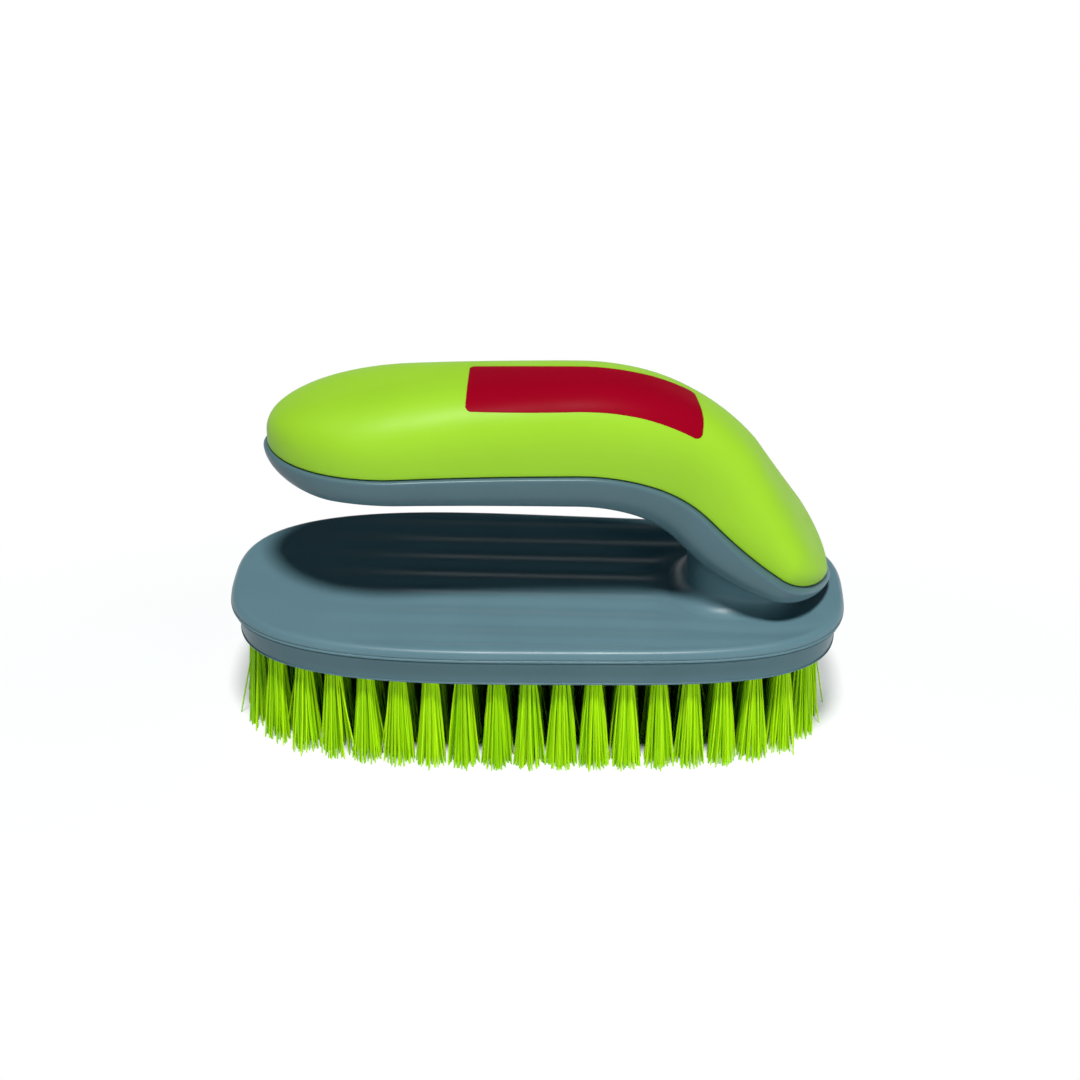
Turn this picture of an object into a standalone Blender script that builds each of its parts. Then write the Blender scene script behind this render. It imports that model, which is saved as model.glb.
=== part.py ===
"""Iron-shaped hand scrubbing brush.

A fluted cover plate, the neck and the lower half of the handle are one moulding.
A hollow grip shell closes the handle from above, a plain label lies in its recess,
and a tuft block under the cover holds the rows of bristle tufts.
+X runs from the free end of the handle to its neck, +Z is up, and the origin is on
the floor, under the middle of the plate.
"""

import math
import random

import bmesh
import bpy
import numpy as np
from mathutils.geometry import delaunay_2d_cdt

# Plate, seen from above
PLATE_LENGTH = 0.150
PLATE_WIDTH = 0.0630
PLATE_TAPER_SHARE = -0.078
FREE_END_EXPONENT = 2.86
NECK_END_EXPONENT = 4.44
SIDE_EXPONENT = 2.78

# Heights, from the floor up
BRISTLE_LENGTH = 0.0256
TUFT_BLOCK_HEIGHT = 0.0072
SEAM_GAP = 0.0003
COVER_THICKNESS = 0.0029

# Edges of the cover and of the block under it
LIP_TOP_RADIUS = 0.0011
LIP_BOTTOM_RADIUS = 0.0005
SKIRT_SETBACK = 0.0015
SKIRT_DRAFT = 0.0005
SKIRT_EDGE_RADIUS = 0.0005

# Flutes along the top of the cover
FLUTE_PITCH = 0.0080
FLUTE_DEPTH = 0.0007
FLUTES_PER_SIDE = 3
FLUTE_RIM_MARGIN = 0.0050
FLUTE_FADE_START = 0.0200
FLUTE_FADE_LENGTH = 0.0300

# Line where the two halves of the handle part, seen from the side
HANDLE_START_X = -0.0638
HANDLE_STRAIGHT = 0.0735
BEND_RADIUS = 0.0451
BEND_TURN = math.radians(43.9)
TAIL_RADIUS = 0.119
TAIL_LENGTH = 0.0361
TAIL_END_RISE = 0.0049

# Half widths of the grip shell at its free end, middle and neck end, before rounding,
# and the waist that it has near the end of the bend
HALF_WIDTH_FREE = 0.0235
HALF_WIDTH_MIDDLE = 0.0154
HALF_WIDTH_NECK = 0.0181
WIDTH_ROUNDING_FREE = 0.0319
WIDTH_ROUNDING_NECK = 0.0138
WIDTH_EXPONENT_FREE = 1.74
WIDTH_EXPONENT_NECK = 1.55
WAIST_DEPTH = 0.0026
WAIST_FROM_END = 0.0420
WAIST_LENGTH = 0.0156

# Heights of the grip shell over the parting line
GRIP_HEIGHT_FREE = 0.0120
GRIP_HEIGHT_MIDDLE = 0.0191
GRIP_HEIGHT_NECK = 0.0167
GRIP_ROUNDING_FREE = 0.0608
GRIP_ROUNDING_NECK = 0.0596
GRIP_EXPONENT_FREE = 4.30
GRIP_EXPONENT_NECK = 1.67
GRIP_SECTION_EXPONENT = 2.93

# Depths of the lower half of the handle under the parting line
LOWER_DEPTH_FREE = 0.0084
LOWER_DEPTH_MIDDLE = 0.0107
LOWER_DEPTH_NECK = 0.0107
LOWER_ROUNDING_FREE = 0.0173
LOWER_ROUNDING_NECK = 0.0326
LOWER_EXPONENT_FREE = 1.66
LOWER_EXPONENT_NECK = 1.50
LOWER_SECTION_EXPONENT = 3.50

# Flat ledge of the lower half around the grip shell, its swell near the tail, and its
# rounded rim
LEDGE_WIDTH = 0.00025
LEDGE_SWELL = 0.0018
LEDGE_SWELL_FROM_END = 0.0225
LEDGE_SWELL_LENGTH = 0.0183
RIM_RADIUS = 0.0007

# Walls and the joint between the two halves
GRIP_WALL = 0.0022
LOWER_WALL = 0.0024
PARTING_GAP = 0.0003

# Neck
NECK_BEFORE_END = 0.0214
NECK_HALF_LENGTH = 0.0125
NECK_HALF_WIDTH = 0.0115
NECK_EXPONENT = 2.6
NECK_FOOT_FILLET = 0.0050
NECK_TOP_FILLET = 0.0032
NECK_FOOT_SHARE = 0.5
NECK_TOP_SHARE = 0.4
NECK_SINK = 0.0012
NECK_TOP_DROP = 0.0030
CORE_ROOF_MARGIN = 0.0010

# Posts of the grip shell and their sockets in the lower half
POST_DIAMETER = 0.0046
POST_CLEARANCE = 0.0003
POST_FOOT_GAP = 0.0012
SOCKET_WALL = 0.0016
SOCKET_TOP_DROP = 0.0020
SOCKET_FLOOR = 0.0006
RIB_THICKNESS = 0.0016
POST_PLACE_SHARES = (0.13, 0.31, 0.49, 0.66, 0.82)

# Pegs between the cover and the tuft block
PEG_DIAMETER = 0.0050
PEG_LENGTH = 0.0020
PEG_CLEARANCE = 0.0003
PEG_X_SHARES = (-0.74, -0.26, 0.26, 0.74)
PEG_Y_SHARE = 0.56

# Label on the grip shell
LABEL_START = 0.0480
LABEL_LENGTH = 0.0464
LABEL_NEAR_EDGE = 0.0122
LABEL_FAR_EDGE = 0.0052
LABEL_END_SHARE = 0.78
LABEL_END_SLANT = 0.0027
LABEL_BOW = 0.0007
LABEL_CORNER = 0.0013
LABEL_THICKNESS = 0.0003
LABEL_GAP = 0.0003

# Bristle tufts
TUFT_PITCH = 0.0080
TUFT_ROW_PITCH = 0.0090
TUFT_EDGE_MARGIN = 0.0023
TUFT_SEAT_THICKNESS = 0.0030
TUFT_SEAT_GAP = 0.0003
BLOCK_RIM = 0.0009
STRANDS_PER_TUFT = 4
STRAND_SIDES = 3
STRAND_RADIUS = 0.00060
STRAND_TIP_RADIUS = 0.00052
STRAND_SINK = 0.0010
TUFT_ROOT_RADIUS = 0.0013
TUFT_TIP_RADIUS = 0.0020
TIP_SCATTER = 0.0002
STRAND_TURN_SCATTER = math.radians(8)

# Cuts run past a surface by this much, and guides that get trimmed run on by this much
OVERRUN = 0.0020
GUIDE_REACH = 0.0130

# Heights that follow from the sizes above
BLOCK_TOP = BRISTLE_LENGTH + TUFT_BLOCK_HEIGHT
COVER_BOTTOM = BLOCK_TOP + SEAM_GAP
COVER_TOP = COVER_BOTTOM + COVER_THICKNESS
BEND_DROP = BEND_RADIUS * (1 - math.cos(BEND_TURN))
END_TURN = BEND_TURN - TAIL_LENGTH / TAIL_RADIUS
TAIL_DROP = TAIL_RADIUS * (math.cos(END_TURN) - math.cos(BEND_TURN))
PARTING_Z = COVER_TOP + TAIL_END_RISE + TAIL_DROP + BEND_DROP

# Lengths along the parting line that follow from the sizes above
BEND_END = HANDLE_STRAIGHT + BEND_RADIUS * BEND_TURN
HANDLE_LENGTH = BEND_END + TAIL_LENGTH

# Places along x that follow from the sizes above
BEND_START_X = HANDLE_START_X + HANDLE_STRAIGHT
BEND_END_X = BEND_START_X + BEND_RADIUS * math.sin(BEND_TURN)
HANDLE_END_X = BEND_END_X + TAIL_RADIUS * (math.sin(BEND_TURN) - math.sin(END_TURN))
NECK_CENTRE_X = HANDLE_END_X - NECK_BEFORE_END

# Numbers of points
OUTLINE_POINTS = 88
NECK_POINTS = 44
DENSE_POINTS = 2880
CURVE_POINTS = 360
EDGE_STEPS = 2
STATIONS = 32
INNER_STATIONS = 20
SECTION_STEPS = 18
INNER_SECTION_STEPS = 10
ROUND_SIDES = 16
MERGE_DISTANCE = 1e-7
SMOOTH_ANGLE = math.radians(35)
RANDOM_SEED = 7

# Colour and roughness of each plastic
GREY_COLOUR = (0.105, 0.200, 0.238)
GREY_ROUGHNESS = 0.42
GREEN_COLOUR = (0.330, 0.700, 0.020)
GREEN_ROUGHNESS = 0.38
RED_COLOUR = (0.310, 0.003, 0.020)
RED_ROUGHNESS = 0.30
BRISTLE_COLOUR = (0.290, 0.620, 0.006)
BRISTLE_ROUGHNESS = 0.45


def clear_scene():
    for item in list(bpy.data.objects):
        bpy.data.objects.remove(item, do_unlink=True)


def plastic(name, colour, roughness):
    material = bpy.data.materials.new(name)
    material.use_nodes = True
    shader = material.node_tree.nodes["Principled BSDF"]
    shader.inputs["Base Color"].default_value = (*colour, 1.0)
    shader.inputs["Roughness"].default_value = roughness
    shader.inputs["Metallic"].default_value = 0.0
    return material


def new_object(name, points, faces, material=None):
    mesh = bpy.data.meshes.new(name)
    mesh.from_pydata([tuple(map(float, p)) for p in points], [], faces)
    made = bmesh.new()
    made.from_mesh(mesh)
    bmesh.ops.remove_doubles(made, verts=made.verts, dist=MERGE_DISTANCE)
    bmesh.ops.recalc_face_normals(made, faces=made.faces)
    made.to_mesh(mesh)
    made.free()
    mesh.shade_smooth()
    mesh.set_sharp_from_angle(angle=SMOOTH_ANGLE)
    item = bpy.data.objects.new(name, mesh)
    bpy.context.scene.collection.objects.link(item)
    if material is not None:
        mesh.materials.append(material)
    return item


def apply_shape(target, operation, cutter):
    """Join, cut or intersect target with cutter, which is a guide from then on."""
    step = target.modifiers.new(cutter.name, "BOOLEAN")
    step.operation = operation
    step.object = cutter
    step.solver = "EXACT"
    cutter.hide_render = True
    cutter.display_type = "WIRE"


def loft(rings, slatted_top=False):
    """Points and faces of a closed body through rings of equal length; a ring of
    one point closes an end to a tip. A slatted top follows a height that changes
    with x alone, in strips between the points of a ring on both sides of y = 0."""
    points = []
    starts = []
    for ring in rings:
        starts.append(len(points))
        points.extend(ring)
    faces = []
    for low in range(len(rings) - 1):
        a, b = starts[low], starts[low + 1]
        na, nb = len(rings[low]), len(rings[low + 1])
        for i in range(max(na, nb)):
            j = (i + 1) % max(na, nb)
            if na == 1:
                faces.append((a, b + j, b + i))
            elif nb == 1:
                faces.append((a + i, a + j, b))
            else:
                faces.append((a + i, a + j, b + j, b + i))
    if len(rings[0]) > 1:
        faces.append(tuple(range(len(rings[0])))[::-1])
    top, count = starts[-1], len(rings[-1])
    if slatted_top:
        last = list(range(top, top + count))
        half = count // 2
        faces.append(tuple(last[:2] + last[-1:]))
        for i in range(1, half - 1):
            faces.append((last[i], last[i + 1], last[-i - 1], last[-i]))
        faces.append(tuple(last[half - 1:half + 2]))
    elif count > 1:
        faces.append(tuple(top + i for i in range(count)))
    return points, faces


def cylinder(x, y, low, high, diameter):
    angles = [2 * math.pi * i / ROUND_SIDES for i in range(ROUND_SIDES)]
    radius = diameter / 2
    ring = [(x + radius * math.cos(a), y + radius * math.sin(a)) for a in angles]
    return loft([[(px, py, low) for px, py in ring], [(px, py, high) for px, py in ring]])


def merge(shapes):
    """Separate shapes as one set of points and faces."""
    points = []
    faces = []
    for shape_points, shape_faces in shapes:
        shift = len(points)
        points.extend(shape_points)
        faces.extend(tuple(shift + i for i in face) for face in shape_faces)
    return points, faces


def resample(curve, count, closed=False):
    """Points at equal steps of length along a curve."""
    curve = np.asarray(curve)
    if closed:
        curve = np.vstack([curve, curve[:1]])
    steps = np.linalg.norm(np.diff(curve, axis=0), axis=1)
    along = np.concatenate([[0.0], np.cumsum(steps)])
    wanted = np.linspace(0.0, along[-1], count + 1 if closed else count)
    if closed:
        wanted = wanted[:-1]
    return np.column_stack([np.interp(wanted, along, curve[:, k]) for k in range(curve.shape[1])])


# Plate outline

def plate_curve(inset):
    """Dense outline of the plate, moved inwards by inset."""
    turn = np.linspace(0.0, 2 * math.pi, DENSE_POINTS, endpoint=False)
    c = np.cos(turn)
    s = np.sin(turn)
    end_power = 2 / np.where(c < 0, FREE_END_EXPONENT, NECK_END_EXPONENT)
    x = PLATE_LENGTH / 2 * np.sign(c) * np.abs(c) ** end_power
    half_width = PLATE_WIDTH / 2 * (1 + PLATE_TAPER_SHARE * x / (PLATE_LENGTH / 2))
    y = half_width * np.sign(s) * np.abs(s) ** (2 / SIDE_EXPONENT)
    dx = np.roll(x, -1) - np.roll(x, 1)
    dy = np.roll(y, -1) - np.roll(y, 1)
    length = np.hypot(dx, dy)
    return np.column_stack([x - inset * dy / length, y + inset * dx / length])


def plate_ring(inset, z):
    return [(x, y, z) for x, y in resample(plate_curve(inset), OUTLINE_POINTS, closed=True)]


def half_width_at(curve, x):
    """Half width at x of an outline that is alike on both sides."""
    upper = curve[curve[:, 1] >= 0]
    order = np.argsort(upper[:, 0])
    return float(np.interp(x, upper[order, 0], upper[order, 1]))


# Handle

def handle_path(s):
    """Place and downward turn of the parting line at length s."""
    if s <= HANDLE_STRAIGHT:
        return HANDLE_START_X + s, PARTING_Z, 0.0
    if s <= BEND_END:
        turn = (s - HANDLE_STRAIGHT) / BEND_RADIUS
        x = BEND_START_X + BEND_RADIUS * math.sin(turn)
        return x, PARTING_Z - BEND_RADIUS * (1 - math.cos(turn)), turn
    turn = BEND_TURN - (s - BEND_END) / TAIL_RADIUS
    x = BEND_END_X + TAIL_RADIUS * (math.sin(BEND_TURN) - math.sin(turn))
    z = PARTING_Z - BEND_DROP - TAIL_RADIUS * (math.cos(turn) - math.cos(BEND_TURN))
    return x, z, turn


def off_path(s, y, rise):
    """Point at y across the handle and rise above the parting line at length s."""
    x, z, turn = handle_path(s)
    return x + rise * math.sin(turn), y, z + rise * math.cos(turn)


def three_point(s, first, middle, last):
    u = s / HANDLE_LENGTH
    return first * (1 - u) * (1 - 2 * u) + middle * 4 * u * (1 - u) + last * u * (2 * u - 1)


def end_rounding(s, free_length, free_exponent, neck_length, neck_exponent):
    """Share of a size left at length s by the round ends of the handle."""
    u = np.clip((free_length - s) / free_length, 0, 1)
    v = np.clip((s - HANDLE_LENGTH + neck_length) / neck_length, 0, 1)
    free_share = (1 - u ** free_exponent) ** (1 / free_exponent)
    return free_share * (1 - v ** neck_exponent) ** (1 / neck_exponent)


def swell(s, height, from_end, length):
    """A smooth swell that peaks at from_end before the neck end of the handle."""
    return height * np.exp(-((s - HANDLE_LENGTH + from_end) / length) ** 2)


def half_width(s):
    size = three_point(s, HALF_WIDTH_FREE, HALF_WIDTH_MIDDLE, HALF_WIDTH_NECK)
    size = size - swell(s, WAIST_DEPTH, WAIST_FROM_END, WAIST_LENGTH)
    return size * end_rounding(s, WIDTH_ROUNDING_FREE, WIDTH_EXPONENT_FREE,
                               WIDTH_ROUNDING_NECK, WIDTH_EXPONENT_NECK)


def grip_height(s):
    size = three_point(s, GRIP_HEIGHT_FREE, GRIP_HEIGHT_MIDDLE, GRIP_HEIGHT_NECK)
    return size * end_rounding(s, GRIP_ROUNDING_FREE, GRIP_EXPONENT_FREE,
                               GRIP_ROUNDING_NECK, GRIP_EXPONENT_NECK)


def lower_depth(s):
    size = three_point(s, LOWER_DEPTH_FREE, LOWER_DEPTH_MIDDLE, LOWER_DEPTH_NECK)
    return size * end_rounding(s, LOWER_ROUNDING_FREE, LOWER_EXPONENT_FREE,
                               LOWER_ROUNDING_NECK, LOWER_EXPONENT_NECK)


def ledge_width(s):
    return LEDGE_WIDTH + swell(s, LEDGE_SWELL, LEDGE_SWELL_FROM_END, LEDGE_SWELL_LENGTH)


def moved_curve(size, outset):
    """The curve of a size along the handle, moved outwards on its normal by outset, which
    changes along it. The two ends stay on the middle of the handle."""
    turn = np.linspace(0.0, math.pi, DENSE_POINTS)
    s = HANDLE_LENGTH * (1 - np.cos(turn)) / 2
    value = size(s)
    ds = np.gradient(s)
    dv = np.gradient(value)
    length = np.hypot(ds, dv)
    moved_value = value + outset(s) * ds / length
    moved_value[[0, -1]] = 0.0
    return turn, s - outset(s) * dv / length, moved_value


def read_size(size, inset):
    """A function that gives the size at a length, moved inwards by inset."""
    if inset == 0:
        return size
    lengths, values = moved_curve(size, lambda s: -inset)[1:]
    order = np.argsort(lengths)
    return lambda s: np.interp(s, lengths[order], np.maximum(values[order], 0.0))


def half_section(width, reach, exponent, steps):
    """Half of a superellipse from +width to -width, at equal steps of length."""
    turn = np.linspace(0.0, math.pi, CURVE_POINTS)
    c = np.cos(turn)
    y = width * np.sign(c) * np.abs(c) ** (2 / exponent)
    rise = reach * np.sin(turn) ** (2 / exponent)
    return resample(np.column_stack([y, rise]), steps + 1)


def half_body(side, size, exponent, inset, base, stations, steps):
    """Closed half of the handle on one side of the parting line: side is 1 for the
    upper half and -1 for the lower. base is how far from the line it starts."""
    width_at = read_size(half_width, inset)
    reach_at = read_size(size, inset)
    first = inset
    last = HANDLE_LENGTH - inset
    turns = [math.pi * i / (stations - 1) for i in range(stations)]
    rings = []
    for number, turn in enumerate(turns):
        s = first + (last - first) * (1 - math.cos(turn)) / 2
        if number in (0, stations - 1):
            rings.append([off_path(s, 0.0, side * base)])
            continue
        reach = max(float(reach_at(s)) - base, min(abs(base), inset))
        section = half_section(float(width_at(s)), reach, exponent, steps)
        rings.append([off_path(s, y, side * (base + rise)) for y, rise in section])
    return loft(rings)


def rim_curve(outset):
    """Outline of the grip shell, moved outwards over the ledge and then by outset."""
    return moved_curve(half_width, lambda s: ledge_width(s) + outset)


def lower_surface():
    """Turn, length, half width and depth of the lower half's outer surface."""
    turn, lengths, widths = rim_curve(RIM_RADIUS)
    share = (lengths - lengths[0]) / (lengths[-1] - lengths[0])
    return turn, lengths, widths, lower_depth(share * HANDLE_LENGTH)


def lower_outer():
    """Closed outer shape of the lower half: a flat top, a rounded rim and a full
    underside. Its ends close where both sides meet."""
    rim_turns = [math.pi / 2 * step / EDGE_STEPS for step in range(EDGE_STEPS)]
    curves = [rim_curve(RIM_RADIUS * math.sin(turn)) for turn in rim_turns]
    drops = [RIM_RADIUS * (1 - math.cos(turn)) for turn in rim_turns]
    turn, lengths, widths, depths = lower_surface()
    rings = []
    for station in range(STATIONS):
        at = math.pi * station / (STATIONS - 1)
        s, width, depth = (float(np.interp(at, turn, row)) for row in (lengths, widths, depths))
        reach = max(depth - RIM_RADIUS, 0.0)
        section = half_section(width, reach, LOWER_SECTION_EXPONENT, SECTION_STEPS)
        ring = [off_path(s, y, -RIM_RADIUS - rise) for y, rise in section]
        rim = [[float(np.interp(at, turn, row)) for row in curve[1:]] for curve in curves]
        far = [off_path(rim_s, rim_y, -drop) for (rim_s, rim_y), drop in zip(rim, drops)]
        near = [(x, -y, z) for x, y, z in far]
        rings.append(ring + near[::-1] + far)
    points, faces = loft(rings)
    return points, faces[:-2]


def underside():
    """A function that gives the height of the lower half's underside over a place."""
    turn, lengths, widths, depths = lower_surface()
    path = np.array([handle_path(s) for s in lengths])
    bent = lengths > HANDLE_STRAIGHT / 2
    reach = np.maximum(depths - RIM_RADIUS, 0.0)

    def height(x, y):
        share = np.minimum(abs(y) / np.maximum(widths, PARTING_GAP), 1.0)
        section_share = (1 - share ** LOWER_SECTION_EXPONENT) ** (1 / LOWER_SECTION_EXPONENT)
        drop = RIM_RADIUS + reach * section_share
        xs = (path[:, 0] - drop * np.sin(path[:, 2]))[bent]
        zs = (path[:, 1] - drop * np.cos(path[:, 2]))[bent]
        order = np.argsort(xs)
        return float(np.interp(x, xs[order], zs[order]))
    return height


def length_at(x):
    """Length along the parting line at x."""
    lengths = np.linspace(0.0, HANDLE_LENGTH, CURVE_POINTS)
    places = [handle_path(s)[0] for s in lengths]
    return float(np.interp(x, places, lengths))


def parting_at(x):
    return handle_path(length_at(x))[1]


# Cover plate with its flutes

def flute_dip(x, y):
    """Depth of the flutes at a place on the cover; they run out towards the rim."""
    half_band = FLUTE_PITCH * (FLUTES_PER_SIDE + 1 / 2)
    if abs(y) >= half_band:
        return 0.0
    wave = (1 - math.cos(2 * math.pi * y / FLUTE_PITCH)) / 2
    from_end = x + PLATE_LENGTH / 2 - FLUTE_FADE_START
    free_share = min(max(from_end / FLUTE_FADE_LENGTH, 0.0), 1.0)
    neck_share = min(max((PLATE_LENGTH / 2 - x - FLUTE_RIM_MARGIN) / FLUTE_RIM_MARGIN, 0.0), 1.0)
    return FLUTE_DEPTH * wave * free_share * neck_share


def cover_plate():
    rings = [plate_ring(LIP_BOTTOM_RADIUS, COVER_BOTTOM)]
    for step in range(1, EDGE_STEPS + 1):
        turn = math.pi / 2 * step / EDGE_STEPS
        inset = LIP_BOTTOM_RADIUS * (1 - math.sin(turn))
        rings.append(plate_ring(inset, COVER_BOTTOM + LIP_BOTTOM_RADIUS * (1 - math.cos(turn))))
    for step in range(EDGE_STEPS + 1):
        turn = math.pi / 2 * step / EDGE_STEPS
        inset = LIP_TOP_RADIUS * (1 - math.cos(turn))
        rings.append(plate_ring(inset, COVER_TOP - LIP_TOP_RADIUS * (1 - math.sin(turn))))
    points, faces = loft(rings)
    faces.pop()
    rim_start = len(points) - OUTLINE_POINTS
    rim = points[rim_start:]
    inner = plate_curve(LIP_TOP_RADIUS + FLUTE_RIM_MARGIN / 2)
    flat = [(x, y) for x, y, z in rim]
    y_step = FLUTE_PITCH / 4
    x_step = FLUTE_PITCH
    rows = int(PLATE_WIDTH / 2 / y_step)
    columns = int(PLATE_LENGTH / 2 / x_step)
    for column in range(-columns, columns + 1):
        x = column * x_step
        reach = half_width_at(inner, x) if abs(x) < np.max(inner[:, 0]) else 0.0
        for row in range(-rows, rows + 1):
            if abs(row * y_step) < reach:
                flat.append((x, row * y_step))
    edges = [(i, (i + 1) % OUTLINE_POINTS) for i in range(OUTLINE_POINTS)]
    made = delaunay_2d_cdt(flat, edges, [], 1, MERGE_DISTANCE)
    for x, y in made[0][OUTLINE_POINTS:]:
        points.append((x, y, COVER_TOP - flute_dip(x, y)))
    for face in made[2]:
        faces.append(tuple(rim_start + i for i in face))
    return points, faces


# Neck between the cover and the handle

def neck_outline(grow):
    turn = np.linspace(0.0, 2 * math.pi, 2 * CURVE_POINTS, endpoint=False)
    c = np.cos(turn)
    s = np.sin(turn)
    power = 2 / NECK_EXPONENT
    x = (NECK_HALF_LENGTH + grow) * np.sign(c) * np.abs(c) ** power
    y = (NECK_HALF_WIDTH + grow) * np.sign(s) * np.abs(s) ** power
    return resample(np.column_stack([NECK_CENTRE_X + x, y]), NECK_POINTS, closed=True)


def neck():
    """Waisted neck with a fillet at its foot and one under the handle."""
    foot = COVER_TOP - FLUTE_DEPTH / 2
    under = underside()
    rings = [[(x, y, foot - NECK_SINK) for x, y in neck_outline(NECK_FOOT_FILLET)]]
    turns = [math.pi / 2 * step / (EDGE_STEPS + 1) for step in range(EDGE_STEPS + 2)]
    for turn in turns:
        ring = []
        for x, y in neck_outline(NECK_FOOT_FILLET * (1 - math.sin(turn))):
            room = under(x, y) - foot
            radius = min(NECK_FOOT_FILLET, room * NECK_FOOT_SHARE)
            ring.append((x, y, foot + radius * (1 - math.cos(turn))))
        rings.append(ring)
    for turn in reversed(turns):
        ring = []
        for x, y in neck_outline(NECK_TOP_FILLET * (1 - math.sin(turn))):
            room = under(x, y) - foot
            radius = min(NECK_TOP_FILLET, room * NECK_TOP_SHARE)
            ring.append((x, y, foot + room - radius * (1 - math.cos(turn))))
        rings.append(ring)
    rings[-1] = [(x, y, z + NECK_SINK) for x, y, z in rings[-1]]
    ring = neck_outline(0.0)
    rings.append([(x, y, parting_at(x) - NECK_TOP_DROP) for x, y in ring])
    return loft(rings, slatted_top=True)


def neck_core():
    """Hollow of the neck, open downwards."""
    ring = neck_outline(-LOWER_WALL)
    under = underside()
    low = [(x, y, COVER_BOTTOM - OVERRUN) for x, y in ring]
    high = []
    for x, y in ring:
        roof = under(x, y) - CORE_ROOF_MARGIN
        high.append((x, y, max(roof, COVER_BOTTOM + LOWER_WALL / 2)))
    return loft([low, high], slatted_top=True)


# Posts, sockets and pegs

def post_places():
    """Place along x of each post."""
    return [handle_path(share * HANDLE_LENGTH)[0] for share in POST_PLACE_SHARES]


def floor_at(x):
    """Height of the channel floor of the lower half on its centre line at x."""
    reach = read_size(lower_depth, LOWER_WALL)
    lengths = np.linspace(LOWER_WALL, HANDLE_LENGTH - LOWER_WALL, CURVE_POINTS)
    places = np.array([off_path(s, 0.0, -float(reach(s))) for s in lengths])
    order = np.argsort(places[:, 0])
    return float(np.interp(x, places[order, 0], places[order, 2]))


def highest_floor(x):
    """Highest floor under the round foot of a post at x."""
    reach = POST_DIAMETER / 2 + POST_CLEARANCE
    return max(floor_at(x - reach), floor_at(x), floor_at(x + reach))


def posts():
    shapes = []
    for x in post_places():
        low = highest_floor(x) + SOCKET_FLOOR + POST_FOOT_GAP
        high = parting_at(x) + GRIP_HEIGHT_MIDDLE + OVERRUN
        shapes.append(cylinder(x, 0.0, low, high, POST_DIAMETER))
    return merge(shapes)


def socket_top(x):
    outer = POST_DIAMETER / 2 + POST_CLEARANCE + SOCKET_WALL
    return parting_at(x + outer) - SOCKET_TOP_DROP


def sockets():
    shapes = []
    outer = POST_DIAMETER + 2 * (POST_CLEARANCE + SOCKET_WALL)
    for x in post_places():
        low = floor_at(x) - GUIDE_REACH
        shapes.append(cylinder(x, 0.0, low, socket_top(x), outer))
    return merge(shapes)


def ribs():
    """Cross ribs that stiffen the channel at each socket."""
    shapes = []
    half = RIB_THICKNESS / 2
    for x in post_places():
        low = floor_at(x) - GUIDE_REACH
        high = socket_top(x) - RIB_THICKNESS
        width = PLATE_WIDTH / 2
        ring = [(x - half, -width), (x + half, -width), (x + half, width), (x - half, width)]
        shapes.append(loft([[(px, py, low) for px, py in ring],
                            [(px, py, high) for px, py in ring]]))
    return merge(shapes)


def socket_bores():
    shapes = []
    for x in post_places():
        low = highest_floor(x) + SOCKET_FLOOR
        bore = POST_DIAMETER + 2 * POST_CLEARANCE
        shapes.append(cylinder(x, 0.0, low, socket_top(x) + OVERRUN, bore))
    return merge(shapes)


def peg_places():
    places = []
    outline = plate_curve(SKIRT_SETBACK + SKIRT_DRAFT)
    for share in PEG_X_SHARES:
        x = share * PLATE_LENGTH / 2
        y = PEG_Y_SHARE * half_width_at(outline, x)
        places += [(x, -y), (x, y)]
    return places


def pegs():
    low = COVER_BOTTOM - PEG_LENGTH
    high = COVER_BOTTOM + COVER_THICKNESS / 2
    return merge([cylinder(x, y, low, high, PEG_DIAMETER) for x, y in peg_places()])


def peg_sockets():
    low = COVER_BOTTOM - PEG_LENGTH - PEG_CLEARANCE
    high = BLOCK_TOP + OVERRUN
    bore = PEG_DIAMETER + 2 * PEG_CLEARANCE
    return merge([cylinder(x, y, low, high, bore) for x, y in peg_places()])


# Label and its recess

def grip_surface(s, y, outset):
    """Point on the grip shell over y at length s, moved outwards by outset."""
    width = float(half_width(s))
    reach = float(grip_height(s)) - PARTING_GAP
    share = min(abs(y) / width, 1.0)
    rise = PARTING_GAP + reach * (1 - share ** GRIP_SECTION_EXPONENT) ** (1 / GRIP_SECTION_EXPONENT)
    return off_path(s, y, rise + outset)


def shaped_label(s, y):
    """A place on a straight label, moved to where the narrowing, bowed label has it."""
    along = (s - LABEL_START) / LABEL_LENGTH
    from_middle = y - (LABEL_FAR_EDGE - LABEL_NEAR_EDGE) / 2
    slant = LABEL_END_SLANT * along * from_middle / (LABEL_FAR_EDGE + LABEL_NEAR_EDGE)
    bow = 4 * LABEL_BOW * along * (1 - along)
    return s - slant, y - from_middle * (1 - LABEL_END_SHARE) * along - bow


def label_outline(grow):
    """Round-cornered outline in length along the handle and y across it. It narrows
    towards the neck, and its end there is slanted."""
    centre_s = LABEL_START + LABEL_LENGTH / 2
    centre_y = (LABEL_FAR_EDGE - LABEL_NEAR_EDGE) / 2
    half_s = LABEL_LENGTH / 2 + grow
    half_y = (LABEL_FAR_EDGE + LABEL_NEAR_EDGE) / 2 + grow
    radius = LABEL_CORNER + grow
    outline = []
    for corner, (sign_s, sign_y) in enumerate(((1, 1), (-1, 1), (-1, -1), (1, -1))):
        for step in range(EDGE_STEPS + 1):
            turn = math.pi / 2 * (corner + step / EDGE_STEPS)
            s = centre_s + sign_s * (half_s - radius) + radius * math.cos(turn)
            y = centre_y + sign_y * (half_y - radius) + radius * math.sin(turn)
            outline.append(shaped_label(s, y))
    return outline


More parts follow.
